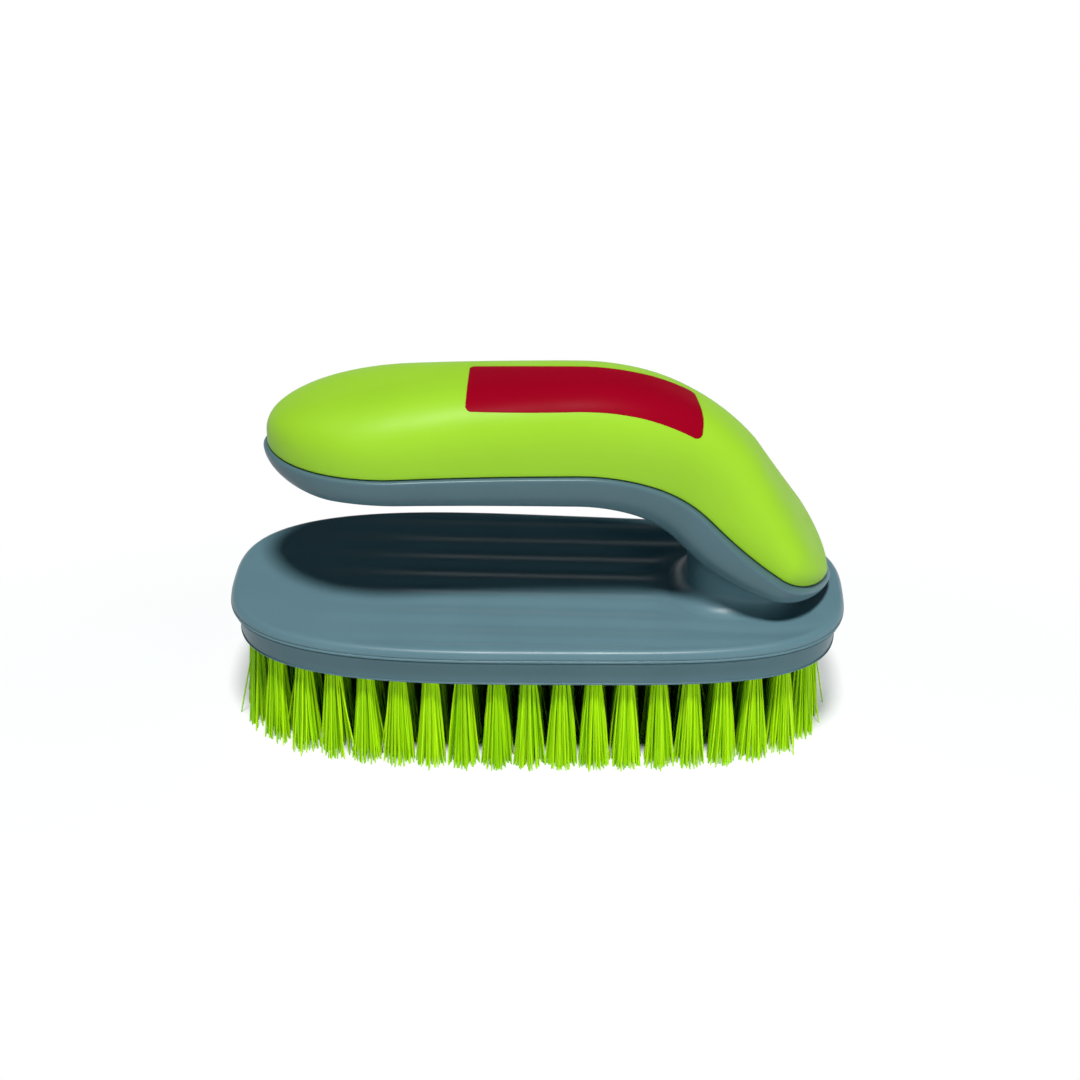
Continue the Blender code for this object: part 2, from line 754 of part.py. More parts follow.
def label_body(grow, low, high):
    """Curved sheet over the label's outline, from low to high above the grip."""
    outline = label_outline(grow)
    closed = outline + outline[:1]
    dense = []
    for start, end in zip(closed, closed[1:]):
        pieces = max(1, round(math.dist(start, end) / LABEL_CORNER / 2))
        for i in range(pieces):
            share = i / pieces
            dense.append((start[0] + (end[0] - start[0]) * share,
                          start[1] + (end[1] - start[1]) * share))
    count = len(dense)
    step = LABEL_CORNER * 2
    flat = list(dense)
    rows = int(LABEL_LENGTH / step)
    columns = int((LABEL_NEAR_EDGE + LABEL_FAR_EDGE) / step)
    for row in range(1, rows):
        for column in range(1, columns):
            s = LABEL_START + LABEL_LENGTH * row / rows
            y = (LABEL_NEAR_EDGE + LABEL_FAR_EDGE) * column / columns - LABEL_NEAR_EDGE
            flat.append(shaped_label(s, y))
    edges = [(i, (i + 1) % count) for i in range(count)]
    made = delaunay_2d_cdt(flat, edges, [], 1, MERGE_DISTANCE)
    total = len(made[0])
    points = [grip_surface(p[0], p[1], high) for p in made[0]]
    points += [grip_surface(p[0], p[1], low) for p in made[0]]
    faces = [tuple(face) for face in made[2]]
    faces += [tuple(total + i for i in reversed(face)) for face in made[2]]
    for i in range(count):
        j = (i + 1) % count
        faces.append((i, j, total + j, total + i))
    return points, faces


# Tuft block and the rows of tufts

def tuft_block_body():
    low_inset = SKIRT_SETBACK + SKIRT_DRAFT
    rings = []
    for step in range(EDGE_STEPS + 1):
        turn = math.pi / 2 * step / EDGE_STEPS
        inset = low_inset + SKIRT_EDGE_RADIUS * (1 - math.sin(turn))
        rings.append(plate_ring(inset, BRISTLE_LENGTH + SKIRT_EDGE_RADIUS * (1 - math.cos(turn))))
    rings.append(plate_ring(SKIRT_SETBACK, BLOCK_TOP))
    return loft(rings)


def seat_inset():
    return SKIRT_SETBACK + SKIRT_DRAFT + SKIRT_EDGE_RADIUS + BLOCK_RIM


def tuft_pocket():
    high = BRISTLE_LENGTH + TUFT_SEAT_THICKNESS + TUFT_SEAT_GAP
    return loft([plate_ring(seat_inset(), BRISTLE_LENGTH - OVERRUN),
                 plate_ring(seat_inset(), high)])


def ring_pairs():
    """Tufts of the outer ring as pairs on both sides, from the neck end."""
    curve = plate_curve(seat_inset() + TUFT_EDGE_MARGIN)
    steps = np.linalg.norm(np.diff(np.vstack([curve, curve[:1]]), axis=0), axis=1)
    count = 2 * round(float(np.sum(steps)) / TUFT_PITCH / 2)
    ring = resample(curve, 2 * count, closed=True)
    return [tuple(ring[2 * i + 1]) for i in range(count // 2)]


def tuft_rows():
    """Tuft places row by row; the two pairs at each end share a row."""
    pairs = ring_pairs()
    rows = [[(x, side * y) for x, y in pairs[:2] for side in (-1, 1)]]
    for x, y in pairs[2:-2]:
        spaces = max(1, round(2 * y / TUFT_ROW_PITCH))
        rows.append([(x, y * (2 * i / spaces - 1)) for i in range(spaces + 1)])
    rows.append([(x, side * y) for x, y in pairs[-2:] for side in (-1, 1)])
    return rows


def row_limits(rows):
    """Lowest and highest x of each row's seat."""
    lows = [min(x for x, y in row) for row in rows]
    highs = [max(x for x, y in row) for row in rows]
    borders = [(lows[i] + highs[i + 1]) / 2 for i in range(len(rows) - 1)]
    lows = borders + [-PLATE_LENGTH]
    highs = [PLATE_LENGTH] + borders
    return list(zip(lows, highs))


def cut_outline(outline, low, high):
    """Part of a closed outline between two values of x."""
    for limit, sign in ((low, 1), (high, -1)):
        kept = []
        for i, (x, y) in enumerate(outline):
            next_x, next_y = outline[(i + 1) % len(outline)]
            inside = sign * (x - limit) >= 0
            next_inside = sign * (next_x - limit) >= 0
            if inside:
                kept.append((x, y))
            if inside != next_inside:
                share = (limit - x) / (next_x - x)
                kept.append((limit, y + (next_y - y) * share))
        outline = kept
    apart = TUFT_SEAT_GAP / 4
    return [p for i, p in enumerate(outline) if math.dist(p, outline[i - 1]) > apart]


def strand(root, tip, turn):
    rings = []
    lean = (root[0] - tip[0], root[1] - tip[1])
    over = 1 + STRAND_SINK / BRISTLE_LENGTH
    top = (tip[0] + lean[0] * over, tip[1] + lean[1] * over, BRISTLE_LENGTH + STRAND_SINK)
    for centre, radius in (((tip[0], tip[1], 0.0), STRAND_TIP_RADIUS), (top, STRAND_RADIUS)):
        ring = []
        for side in range(STRAND_SIDES):
            angle = turn + 2 * math.pi * side / STRAND_SIDES
            x = centre[0] + radius * math.cos(angle)
            ring.append((x, centre[1] + radius * math.sin(angle), centre[2]))
        rings.append(ring)
    return loft(rings)


def strands(row, chance):
    shapes = []
    for x, y in row:
        start = chance.uniform(0, 2 * math.pi)
        for number in range(STRANDS_PER_TUFT):
            turn = start + 2 * math.pi * number / STRANDS_PER_TUFT
            turn += chance.uniform(-STRAND_TURN_SCATTER, STRAND_TURN_SCATTER)
            reach = TUFT_TIP_RADIUS + chance.uniform(-TIP_SCATTER, TIP_SCATTER)
            root = (x + TUFT_ROOT_RADIUS * math.cos(turn), y + TUFT_ROOT_RADIUS * math.sin(turn))
            tip = (x + reach * math.cos(turn), y + reach * math.sin(turn))
            shapes.append(strand(root, tip, turn))
    return merge(shapes)


def seat(limits):
    """Slice of the tuft backing under one row."""
    inset = seat_inset() + TUFT_SEAT_GAP
    outline = [tuple(p) for p in resample(plate_curve(inset), OUTLINE_POINTS, closed=True)]
    half_gap = TUFT_SEAT_GAP / 2
    ring = cut_outline(outline, limits[0] + half_gap, limits[1] - half_gap)
    high = BRISTLE_LENGTH + TUFT_SEAT_THICKNESS
    return loft([[(x, y, BRISTLE_LENGTH) for x, y in ring], [(x, y, high) for x, y in ring]])


# Nodes

def build_handle_frame(material):
    frame = new_object("handle_frame", *cover_plate(), material)
    apply_shape(frame, "UNION", new_object("neck_guide", *neck()))
    apply_shape(frame, "UNION", new_object("lower_half_guide", *lower_outer()))
    hollow = half_body(-1, lower_depth, LOWER_SECTION_EXPONENT, LOWER_WALL, -OVERRUN,
                       INNER_STATIONS, INNER_SECTION_STEPS)
    apply_shape(frame, "DIFFERENCE", new_object("channel_cutter", *hollow))
    apply_shape(frame, "DIFFERENCE", new_object("neck_core_cutter", *neck_core()))
    inside = half_body(-1, lower_depth, LOWER_SECTION_EXPONENT, LOWER_WALL / 2, 0.0,
                       INNER_STATIONS, INNER_SECTION_STEPS)
    seats = new_object("socket_guide", *sockets())
    apply_shape(seats, "UNION", new_object("rib_guide", *ribs()))
    apply_shape(seats, "INTERSECT", new_object("lower_inside_guide", *inside))
    apply_shape(frame, "UNION", seats)
    apply_shape(frame, "DIFFERENCE", new_object("socket_bore_cutter", *socket_bores()))
    apply_shape(frame, "UNION", new_object("peg_guide", *pegs()))


def build_grip_shell(material):
    outer = half_body(1, grip_height, GRIP_SECTION_EXPONENT, 0.0, PARTING_GAP,
                      STATIONS, SECTION_STEPS)
    shell = new_object("grip_shell", *outer, material)
    hollow = half_body(1, grip_height, GRIP_SECTION_EXPONENT, GRIP_WALL, -OVERRUN,
                       INNER_STATIONS, INNER_SECTION_STEPS)
    apply_shape(shell, "DIFFERENCE", new_object("grip_hollow_cutter", *hollow))
    inside = half_body(1, grip_height, GRIP_SECTION_EXPONENT, GRIP_WALL / 2, -GUIDE_REACH,
                       INNER_STATIONS, INNER_SECTION_STEPS)
    pins = new_object("post_guide", *posts())
    apply_shape(pins, "INTERSECT", new_object("grip_inside_guide", *inside))
    apply_shape(shell, "UNION", pins)
    recess = label_body(LABEL_GAP, -(LABEL_THICKNESS + LABEL_GAP), OVERRUN)
    apply_shape(shell, "DIFFERENCE", new_object("label_recess_cutter", *recess))


def build_grip_label(material):
    new_object("grip_label", *label_body(0.0, -LABEL_THICKNESS, 0.0), material)


def build_tuft_block(material):
    block = new_object("tuft_block", *tuft_block_body(), material)
    apply_shape(block, "DIFFERENCE", new_object("tuft_pocket_cutter", *tuft_pocket()))
    apply_shape(block, "DIFFERENCE", new_object("peg_socket_cutter", *peg_sockets()))


def build_tuft_rows(material):
    chance = random.Random(RANDOM_SEED)
    rows = tuft_rows()
    for number, (row, limit) in enumerate(zip(rows, row_limits(rows)), start=1):
        name = f"tuft_row_{number:02d}"
        slice_of_backing = new_object(name, *seat(limit), material)
        bundle = new_object(f"strand_guide_{number:02d}", *strands(row, chance))
        apply_shape(slice_of_backing, "UNION", bundle)


def main():
    clear_scene()
    grey = plastic("grey_plastic", GREY_COLOUR, GREY_ROUGHNESS)
    green = plastic("green_grip", GREEN_COLOUR, GREEN_ROUGHNESS)
    red = plastic("red_label", RED_COLOUR, RED_ROUGHNESS)
    bristle = plastic("green_bristle", BRISTLE_COLOUR, BRISTLE_ROUGHNESS)
    build_handle_frame(grey)
    build_grip_shell(green)
    build_grip_label(red)
    build_tuft_block(grey)
    build_tuft_rows(bristle)


main()
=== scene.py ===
"""Looks of the iron-shaped hand scrubbing brush.

Every visible piece is made again, finely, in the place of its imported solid: the grey
moulding with its fluted cover, neck and lower handle, the green grip, its plain red
label, the grey block that holds the tufts, and the tufts themselves, filament by filament.
"""

import math
import random

import bmesh
import bpy
import numpy as np
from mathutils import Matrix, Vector
from mathutils.geometry import delaunay_2d_cdt


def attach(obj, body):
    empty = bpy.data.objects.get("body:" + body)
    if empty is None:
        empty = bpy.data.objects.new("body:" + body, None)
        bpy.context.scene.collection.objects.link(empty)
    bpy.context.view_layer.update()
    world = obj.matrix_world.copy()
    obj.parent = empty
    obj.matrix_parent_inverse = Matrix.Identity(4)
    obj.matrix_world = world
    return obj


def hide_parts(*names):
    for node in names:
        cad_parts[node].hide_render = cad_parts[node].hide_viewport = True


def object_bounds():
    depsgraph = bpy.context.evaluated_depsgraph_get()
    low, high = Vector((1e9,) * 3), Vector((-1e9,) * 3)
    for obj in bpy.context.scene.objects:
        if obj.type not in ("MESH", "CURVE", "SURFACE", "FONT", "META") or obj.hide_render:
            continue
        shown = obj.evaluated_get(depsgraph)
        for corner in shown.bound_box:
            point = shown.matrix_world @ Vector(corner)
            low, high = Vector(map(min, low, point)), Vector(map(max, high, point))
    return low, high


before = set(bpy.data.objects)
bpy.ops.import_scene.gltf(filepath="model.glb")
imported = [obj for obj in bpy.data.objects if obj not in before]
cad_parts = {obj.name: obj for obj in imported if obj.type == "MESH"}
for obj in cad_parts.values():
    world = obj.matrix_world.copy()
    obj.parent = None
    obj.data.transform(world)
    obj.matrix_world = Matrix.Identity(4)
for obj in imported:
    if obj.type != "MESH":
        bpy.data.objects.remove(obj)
packed_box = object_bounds()

# Camera: where it looks, from how far, its turn and tilt, its lens and sensor in
# millimetres, and from how near it sees
CAMERA_TARGET = (0.00073, 0.0, 0.04746)
CAMERA_DISTANCE = 0.5
CAMERA_TURN = math.radians(-2.28)
CAMERA_TILT = math.radians(32.5)
CAMERA_LENS = 68.67
CAMERA_SENSOR = 36.0
CAMERA_NEAR = 0.01

# Lamps: their distance, and each one's size, tilt, turn and power in watts. Then the weak
# light from all round
LAMP_DISTANCE = 1.2
KEY_WIDTH = 0.20
KEY_HEIGHT = 0.20
KEY_TILT = math.radians(19)
KEY_TURN = math.radians(4)
KEY_POWER = 15.4
FILL_WIDTH = 0.50
FILL_HEIGHT = 0.20
FILL_TILT = math.radians(86)
FILL_TURN = math.radians(38)
FILL_POWER = 3.4
AMBIENT_STRENGTH = 0.08
AMBIENT_TINT = (0.25, 0.80, 1.0)

# Sky in reflections: white up to a height over the horizon, and darker from another
# height on. The camera sees it white all over
SKY_WHITE_BELOW = 0.10
SKY_DARK_ABOVE = 0.30
SKY_DARK_STRENGTH = 0.05

# Painted shade: the grey of the handle's lower half is drawn darker from a height over the
# cover on
HANDLE_PAINTED_SHADE = (0.70, 0.70, 0.70)
PAINTED_SHADE_START = 0.002
PAINTED_SHADE_END = 0.012

# Floor: its tone for the light that it sends up and for the eye, and how white it is
# round the tufts. It starts to get white at the tufts' footprint and is fully so far
# from it, at these shares of the footprint's size
FLOOR_SIZE = 6.0
FLOOR_TONE = 0.80
FLOOR_SEEN_TONE = 0.98
FLOOR_WHITE_SHARE = 0.52
FOOTPRINT_LENGTH = 0.138
FOOTPRINT_WIDTH = 0.056
FLOOR_RING_SHARES = (0.90, 1.12, 1.30, 3.20)

# Plate, seen from above
PLATE_LENGTH = 0.150
PLATE_WIDTH = 0.0630
PLATE_TAPER_SHARE = -0.078
FREE_END_EXPONENT = 2.86
NECK_END_EXPONENT = 4.44
SIDE_EXPONENT = 2.78

# Heights, from the floor up
BRISTLE_LENGTH = 0.0256
TUFT_BLOCK_HEIGHT = 0.0072
SEAM_GAP = 0.0003
COVER_THICKNESS = 0.0029
BLOCK_TOP = BRISTLE_LENGTH + TUFT_BLOCK_HEIGHT
COVER_BOTTOM = BLOCK_TOP + SEAM_GAP
COVER_TOP = COVER_BOTTOM + COVER_THICKNESS

# Edge of the cover: a rounded lip over a small bead
LIP_TOP_RADIUS = 0.0019
LIP_TOP_DROP = 0.0019
LIP_FACE_INSET = 0.00014
LIP_BEAD_RADIUS = 0.00034

# Edge of the block: a thin flange under the cover, then a skirt that is set back
FLANGE_INSET = 0.00045
FLANGE_HEIGHT = 0.00065
FLANGE_RADIUS = 0.00022
SKIRT_SETBACK = 0.0015
SKIRT_FILLET = 0.0006
SKIRT_DRAFT = 0.0005
FOOT_BEAD_RADIUS = 0.00028
FOOT_BEAD_SINK = 0.00012

# Flutes along the top of the cover
FLUTE_PITCH = 0.0080
FLUTE_DEPTH = 0.0005
FLUTES_PER_SIDE = 3
FLUTE_RIM_MARGIN = 0.0050
FLUTE_FADE_START = 0.0200
FLUTE_FADE_LENGTH = 0.0300
FLUTE_OUTER_SHARE = 0.45
FLUTE_NECK_MARGIN = 0.0050

# Line where the two halves of the handle part, seen from the side
HANDLE_START_X = -0.0638
HANDLE_STRAIGHT = 0.0735
BEND_RADIUS = 0.0451
BEND_TURN = math.radians(43.9)
TAIL_RADIUS = 0.119
TAIL_LENGTH = 0.0361
TAIL_END_RISE = 0.0049
BEND_DROP = BEND_RADIUS * (1 - math.cos(BEND_TURN))
END_TURN = BEND_TURN - TAIL_LENGTH / TAIL_RADIUS
TAIL_DROP = TAIL_RADIUS * (math.cos(END_TURN) - math.cos(BEND_TURN))
PARTING_Z = COVER_TOP + TAIL_END_RISE + TAIL_DROP + BEND_DROP
BEND_END = HANDLE_STRAIGHT + BEND_RADIUS * BEND_TURN
HANDLE_LENGTH = BEND_END + TAIL_LENGTH

# Half widths of the grip at its free end, middle and neck end, before its ends are
# rounded, and its waist. A rounding is a length and an exponent for the free end, and
# then for the neck end
HALF_WIDTHS = (0.0235, 0.0154, 0.0181)
WIDTH_ROUNDING = (0.0319, 1.74, 0.0138, 1.55)
WAIST_DEPTH = 0.0026
WAIST_FROM_END = 0.0420
WAIST_LENGTH = 0.0156

# Heights of the grip over the parting line, at the same places
GRIP_HEIGHTS = (0.0120, 0.0191, 0.0167)
GRIP_ROUNDING = (0.0608, 4.30, 0.0596, 1.67)
GRIP_SECTION_EXPONENT = 2.93
GRIP_EDGE_RADIUS = 0.00035

# Depths of the lower half under the parting line, at the same places
LOWER_DEPTHS = (0.0084, 0.0107, 0.0107)
LOWER_ROUNDING = (0.0173, 1.66, 0.0326, 1.50)
LOWER_SECTION_EXPONENT = 3.50

# Ledge of the lower half around the grip and its rounded rim
LEDGE_WIDTH = 0.00025
LEDGE_SWELL = 0.0018
LEDGE_SWELL_FROM_END = 0.0225
LEDGE_SWELL_LENGTH = 0.0183
RIM_RADIUS = 0.0007

# Walls and the joint between the two halves
GRIP_WALL = 0.0022
LOWER_WALL = 0.0024
PARTING_GAP = 0.0003

# Neck
NECK_BEFORE_END = 0.0214
NECK_HALF_LENGTH = 0.0125
NECK_HALF_WIDTH = 0.0115
NECK_EXPONENT = 2.6
NECK_FOOT_FILLET = 0.0050
NECK_TOP_FILLET = 0.0032
NECK_FOOT_SHARE = 0.5
NECK_TOP_SHARE = 0.4
NECK_SINK = 0.0012
NECK_FOOT_DROP = 0.00006
NECK_TOP_DROP = 0.0030
CORE_ROOF_MARGIN = 0.0010

# Places along x that follow from the sizes above
BEND_START_X = HANDLE_START_X + HANDLE_STRAIGHT
BEND_END_X = BEND_START_X + BEND_RADIUS * math.sin(BEND_TURN)
HANDLE_END_X = BEND_END_X + TAIL_RADIUS * (math.sin(BEND_TURN) - math.sin(END_TURN))
NECK_CENTRE_X = HANDLE_END_X - NECK_BEFORE_END

# Label
LABEL_START = 0.0480
LABEL_LENGTH = 0.0464
LABEL_NEAR_EDGE = 0.0122
LABEL_FAR_EDGE = 0.0052
LABEL_WIDTH = LABEL_NEAR_EDGE + LABEL_FAR_EDGE
LABEL_MIDDLE_S = LABEL_START + LABEL_LENGTH / 2
LABEL_MIDDLE_Y = (LABEL_FAR_EDGE - LABEL_NEAR_EDGE) / 2
LABEL_END_SHARE = 0.78
LABEL_END_SLANT = 0.0027
LABEL_BOW = 0.0007
LABEL_CORNER = 0.0013
LABEL_THICKNESS = 0.00030
LABEL_GAP = 0.00006
LABEL_EDGE_RADIUS = 0.00010
LABEL_STEP = 0.00095

# Tufts: their places, the rows in each group that is drawn as one piece, and their holes.
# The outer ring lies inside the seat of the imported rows, which has a rounded rim
TUFT_PITCH = 0.0080
TUFT_ROW_PITCH = 0.0090
SEAT_ROUNDING = 0.0005
SEAT_RIM = 0.0009
TUFT_EDGE_MARGIN = 0.0023
RING_INSET = SKIRT_SETBACK + SKIRT_DRAFT + SEAT_ROUNDING + SEAT_RIM + TUFT_EDGE_MARGIN
NECK_END_SHIFT = 0.0030
ROWS_IN_GROUPS = (4, 4, 4, 4, 3)
HOLE_RADIUS = 0.00205
HOLE_DEPTH = 0.0030

# Filaments: their shape, the size of a tuft at its root and its tips, and how much the
# filaments differ from each other. Some stray further than the rest and are drawn lighter,
# as a painted highlight
FILAMENTS_PER_TUFT = 84
FILAMENT_RADIUS = 0.00021
FILAMENT_TIP_SHARE = 0.8
FILAMENT_SIDES = 5
FILAMENT_RING_SHARES = (0.0, 0.28, 0.55, 0.80, 1.0)
FILAMENT_SINK = 0.0012
ROOT_RADIUS = 0.00170
TIP_RADIUS = 0.0038
TURN_SCATTER = 0.3
TIP_SCATTER = 0.00030
BEND_SCATTER = 0.00016
STRAY_SHARE = 0.04
STRAY_SCATTER = 0.0015
STRAY_HIGHLIGHT = 0.6
TIP_RAGGEDNESS = 0.00045
RAGGED_SCATTER = 0.4
RAGGED_LIMIT = 3
OUTWARD_LEAN = 0.0006

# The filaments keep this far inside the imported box, seen from above
FIELD_LIMIT_INSET = 0.0004

# Map for baking: a square cell for each filament holds its unrolled side and both ends
CELL_MARGIN = 0.05
CELL_SIDE_WIDTH = 0.9
CELL_SIDE_HEIGHT = 0.8
CELL_END_PLACES = (0.25, 0.70)
CELL_END_HEIGHT = 0.92
CELL_END_RADIUS = 0.04

# Moulded plastics: their two colours, gloss and roughness, and how fine and deep their
# grain is
COVER_GREY = {"light": (0.118, 0.216, 0.252), "dark": (0.108, 0.202, 0.238),
              "gloss": 0.28, "roughness": 0.34, "roughness_spread": 0.03,
              "grain_scale": 2600, "grain_depth": 0.000006}
# Painted shade: the block is the cover's grey drawn about 12% darker
BLOCK_SHADED_GREY = {**COVER_GREY, "light": (0.104, 0.192, 0.226), "dark": (0.096, 0.180, 0.213),
              "gloss": 0.20}
GRIP_GREEN = {"light": (0.328, 0.620, 0.024), "dark": (0.314, 0.598, 0.021),
              "gloss": 0.28, "roughness": 0.50, "roughness_spread": 0.04,
              "grain_scale": 2200, "grain_depth": 0.000008}
LABEL_RED = {"light": (0.300, 0.001, 0.013), "dark": (0.280, 0.001, 0.011),
             "gloss": 0.02, "roughness": 0.40, "roughness_spread": 0.03,
             "grain_scale": 1500, "grain_depth": 0.000004}

# Scale and detail of the noise for clouds of colour, uneven gloss, the grain and streaks
# along the bristles. Noise hardly leaves its range
CLOUD_NOISE = (55, 3)
GLOSS_NOISE = (160, 4)
GRAIN_DETAIL = 2
STREAK_NOISE = (900, 2)
STREAK_STRETCH = (1, 1, 0.08)
NOISE_RANGE = (0.3, 0.7)

# Bristles
BRISTLE_DARK = (0.300, 0.680, 0.001)
BRISTLE_LIGHT = (0.560, 0.960, 0.006)
BRISTLE_GLOSS = 0.08
BRISTLE_ROUGHNESS = 0.36
BRISTLE_ROUGHNESS_RANGE = (0.28, 0.46)

# Cuts run past a surface by this much
OVERRUN = 0.0020

# Numbers of points
OUTLINE_POINTS = 360
NECK_POINTS = 160
DENSE_POINTS = 5760
CURVE_POINTS = 720
EDGE_STEPS = 6
NECK_STEPS = 10
STATIONS = 150
SECTION_STEPS = 64
INNER_STATIONS = 48
INNER_SECTION_STEPS = 24
HOLE_SIDES = 24
LATTICE_X_STEP = 0.0020
LATTICE_Y_STEP = 0.0005
MERGE_DISTANCE = 1e-7
SMOOTH_ANGLE = math.radians(35)
RANDOM_SEED = 11


# Objects and meshes

def object_of(mesh, weld):
    """Object of a mesh, with its faces turned outwards and equal points joined if wanted."""
    made = bmesh.new()
    made.from_mesh(mesh)
    if weld:
        bmesh.ops.remove_doubles(made, verts=made.verts, dist=MERGE_DISTANCE)
    bmesh.ops.recalc_face_normals(made, faces=made.faces)
    made.to_mesh(mesh)
    made.free()
    item = bpy.data.objects.new(mesh.name, mesh)
    bpy.context.scene.collection.objects.link(item)
    return item


def new_object(name, points, faces):
    mesh = bpy.data.meshes.new(name)
    mesh.from_pydata([tuple(map(float, p)) for p in points], [], faces)
    return object_of(mesh, True)


def combine(target, operation, other):
    """Join other to target or cut it away from it. Other is used up."""
    step = target.modifiers.new(other.name, "BOOLEAN")
    step.operation = operation
    step.object = other
    step.solver = "EXACT"
    graph = bpy.context.evaluated_depsgraph_get()
    result = bpy.data.meshes.new_from_object(target.evaluated_get(graph))
    target.modifiers.clear()
    target.data = result
    bpy.data.objects.remove(other, do_unlink=True)


def finish_piece(item, material, nodes):
    item.data.materials.clear()
    item.data.materials.append(material)
    item.data.shade_smooth()
    item.data.set_sharp_from_angle(angle=SMOOTH_ANGLE)
    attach(item, "root")
    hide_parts(*nodes)


def band(low, high, count):
    """Faces between two loops of count points that start at low and high."""
    return [(low + i, low + (i + 1) % count, high + (i + 1) % count, high + i)
            for i in range(count)]


def loop_edges(start, count):
    return [(start + i, start + (i + 1) % count) for i in range(count)]


def fill(flat, edges):
    """Places and triangles of a flat outline with points and loops inside."""
    made = delaunay_2d_cdt(flat, edges, [], 1, MERGE_DISTANCE)
    return made[0], made[2]


def loft(rings, first_cap=True, last_cap=True):
    """Points and faces of a body through rings of equal length."""
    count = len(rings[0])
    points = [point for ring in rings for point in ring]
    faces = []
    for low in range(len(rings) - 1):
        faces += band(low * count, (low + 1) * count, count)
    if first_cap:
        faces.append(tuple(range(count))[::-1])
    if last_cap:
        start = (len(rings) - 1) * count
        faces.append(tuple(start + i for i in range(count)))
    return points, faces


def resample(curve, count, closed=False):
    """Points at equal steps of length along a curve."""
    curve = np.asarray(curve)
    if closed:
        curve = np.vstack([curve, curve[:1]])
    steps = np.linalg.norm(np.diff(curve, axis=0), axis=1)
    along = np.concatenate([[0.0], np.cumsum(steps)])
    wanted = np.linspace(0.0, along[-1], count + 1 if closed else count)
    if closed:
        wanted = wanted[:-1]
    return np.column_stack([np.interp(wanted, along, column) for column in curve.T])


def quarter(steps):
    """Turns from zero to a right angle."""
    return [math.pi / 2 * step / steps for step in range(steps + 1)]


# Plate outline

def plate_curve(inset):
    """Dense outline of the plate, moved inwards by inset."""
    turn = np.linspace(0.0, 2 * math.pi, DENSE_POINTS, endpoint=False)
    c = np.cos(turn)
    s = np.sin(turn)
    end_power = 2 / np.where(c < 0, FREE_END_EXPONENT, NECK_END_EXPONENT)
    x = PLATE_LENGTH / 2 * np.sign(c) * np.abs(c) ** end_power
    half_width = PLATE_WIDTH / 2 * (1 + PLATE_TAPER_SHARE * x / (PLATE_LENGTH / 2))
    y = half_width * np.sign(s) * np.abs(s) ** (2 / SIDE_EXPONENT)
    dx = np.roll(x, -1) - np.roll(x, 1)
    dy = np.roll(y, -1) - np.roll(y, 1)
    length = np.hypot(dx, dy)
    return np.column_stack([x - inset * dy / length, y + inset * dx / length])


def plate_ring(inset, z):
    return [(x, y, z) for x, y in resample(plate_curve(inset), OUTLINE_POINTS, closed=True)]


def half_width_at(curve, x):
    """Half width at x of an outline that is alike on both sides."""
    upper = curve[curve[:, 1] >= 0]
    order = np.argsort(upper[:, 0])
    return float(np.interp(x, upper[order, 0], upper[order, 1]))


# Handle

def handle_path(s):
    """Place and downward turn of the parting line at length s."""
    s = np.asarray(s, dtype=float)
    bend = (s - HANDLE_STRAIGHT) / BEND_RADIUS
    tail = BEND_TURN - (s - BEND_END) / TAIL_RADIUS
    turn = np.where(s <= HANDLE_STRAIGHT, 0.0, np.where(s <= BEND_END, bend, tail))
    bend_x = BEND_START_X + BEND_RADIUS * np.sin(turn)
    tail_x = BEND_END_X + TAIL_RADIUS * (math.sin(BEND_TURN) - np.sin(turn))
    bend_fall = BEND_RADIUS * (1 - np.cos(turn))
    tail_fall = BEND_DROP + TAIL_RADIUS * (np.cos(turn) - math.cos(BEND_TURN))
    curved_x = np.where(s <= BEND_END, bend_x, tail_x)
    x = np.where(s <= HANDLE_STRAIGHT, HANDLE_START_X + s, curved_x)
    fall = np.where(s <= BEND_END, bend_fall, tail_fall)
    return x, PARTING_Z - np.where(s <= HANDLE_STRAIGHT, 0.0, fall), turn


def off_path(s, y, rise):
    """Points at y across the handle and rise above the parting line at length s."""
    x, z, turn = handle_path(s)
    y = np.broadcast_to(y, np.broadcast(x, rise).shape)
    return np.stack([x + rise * np.sin(turn), y, z + rise * np.cos(turn)], axis=-1)


def three_point(s, first, middle, last):
    """A size at length s, on the parabola through its values at both ends and the middle."""
    u = s / HANDLE_LENGTH
    return first * (1 - u) * (1 - 2 * u) + middle * 4 * u * (1 - u) + last * u * (2 * u - 1)


def end_rounding(s, free_length, free_exponent, neck_length, neck_exponent):
    """Share of a size left at length s by the round ends of the handle."""
    u = np.clip((free_length - s) / free_length, 0, 1)
    v = np.clip((s - HANDLE_LENGTH + neck_length) / neck_length, 0, 1)
    free_share = (1 - u ** free_exponent) ** (1 / free_exponent)
    return free_share * (1 - v ** neck_exponent) ** (1 / neck_exponent)


def swell(s, height, from_end, length):
    """A smooth swell that peaks at from_end before the neck end of the handle."""
    return height * np.exp(-((s - HANDLE_LENGTH + from_end) / length) ** 2)


def half_width(s):
    size = three_point(s, *HALF_WIDTHS) - swell(s, WAIST_DEPTH, WAIST_FROM_END, WAIST_LENGTH)
    return size * end_rounding(s, *WIDTH_ROUNDING)


def grip_height(s):
    return three_point(s, *GRIP_HEIGHTS) * end_rounding(s, *GRIP_ROUNDING)


def lower_depth(s):
    return three_point(s, *LOWER_DEPTHS) * end_rounding(s, *LOWER_ROUNDING)


def ledge_width(s):
    return LEDGE_WIDTH + swell(s, LEDGE_SWELL, LEDGE_SWELL_FROM_END, LEDGE_SWELL_LENGTH)


def moved_curve(size, outset):
    """The curve of a size along the handle, moved outwards on its normal by outset, which
    changes along it. The two ends stay on the middle of the handle."""
    turn = np.linspace(0.0, math.pi, DENSE_POINTS)
    s = HANDLE_LENGTH * (1 - np.cos(turn)) / 2
    value = size(s)
    ds = np.gradient(s)
    dv = np.gradient(value)
    length = np.hypot(ds, dv)
    moved_value = value + outset(s) * ds / length
    moved_value[[0, -1]] = 0.0
    return turn, s - outset(s) * dv / length, moved_value


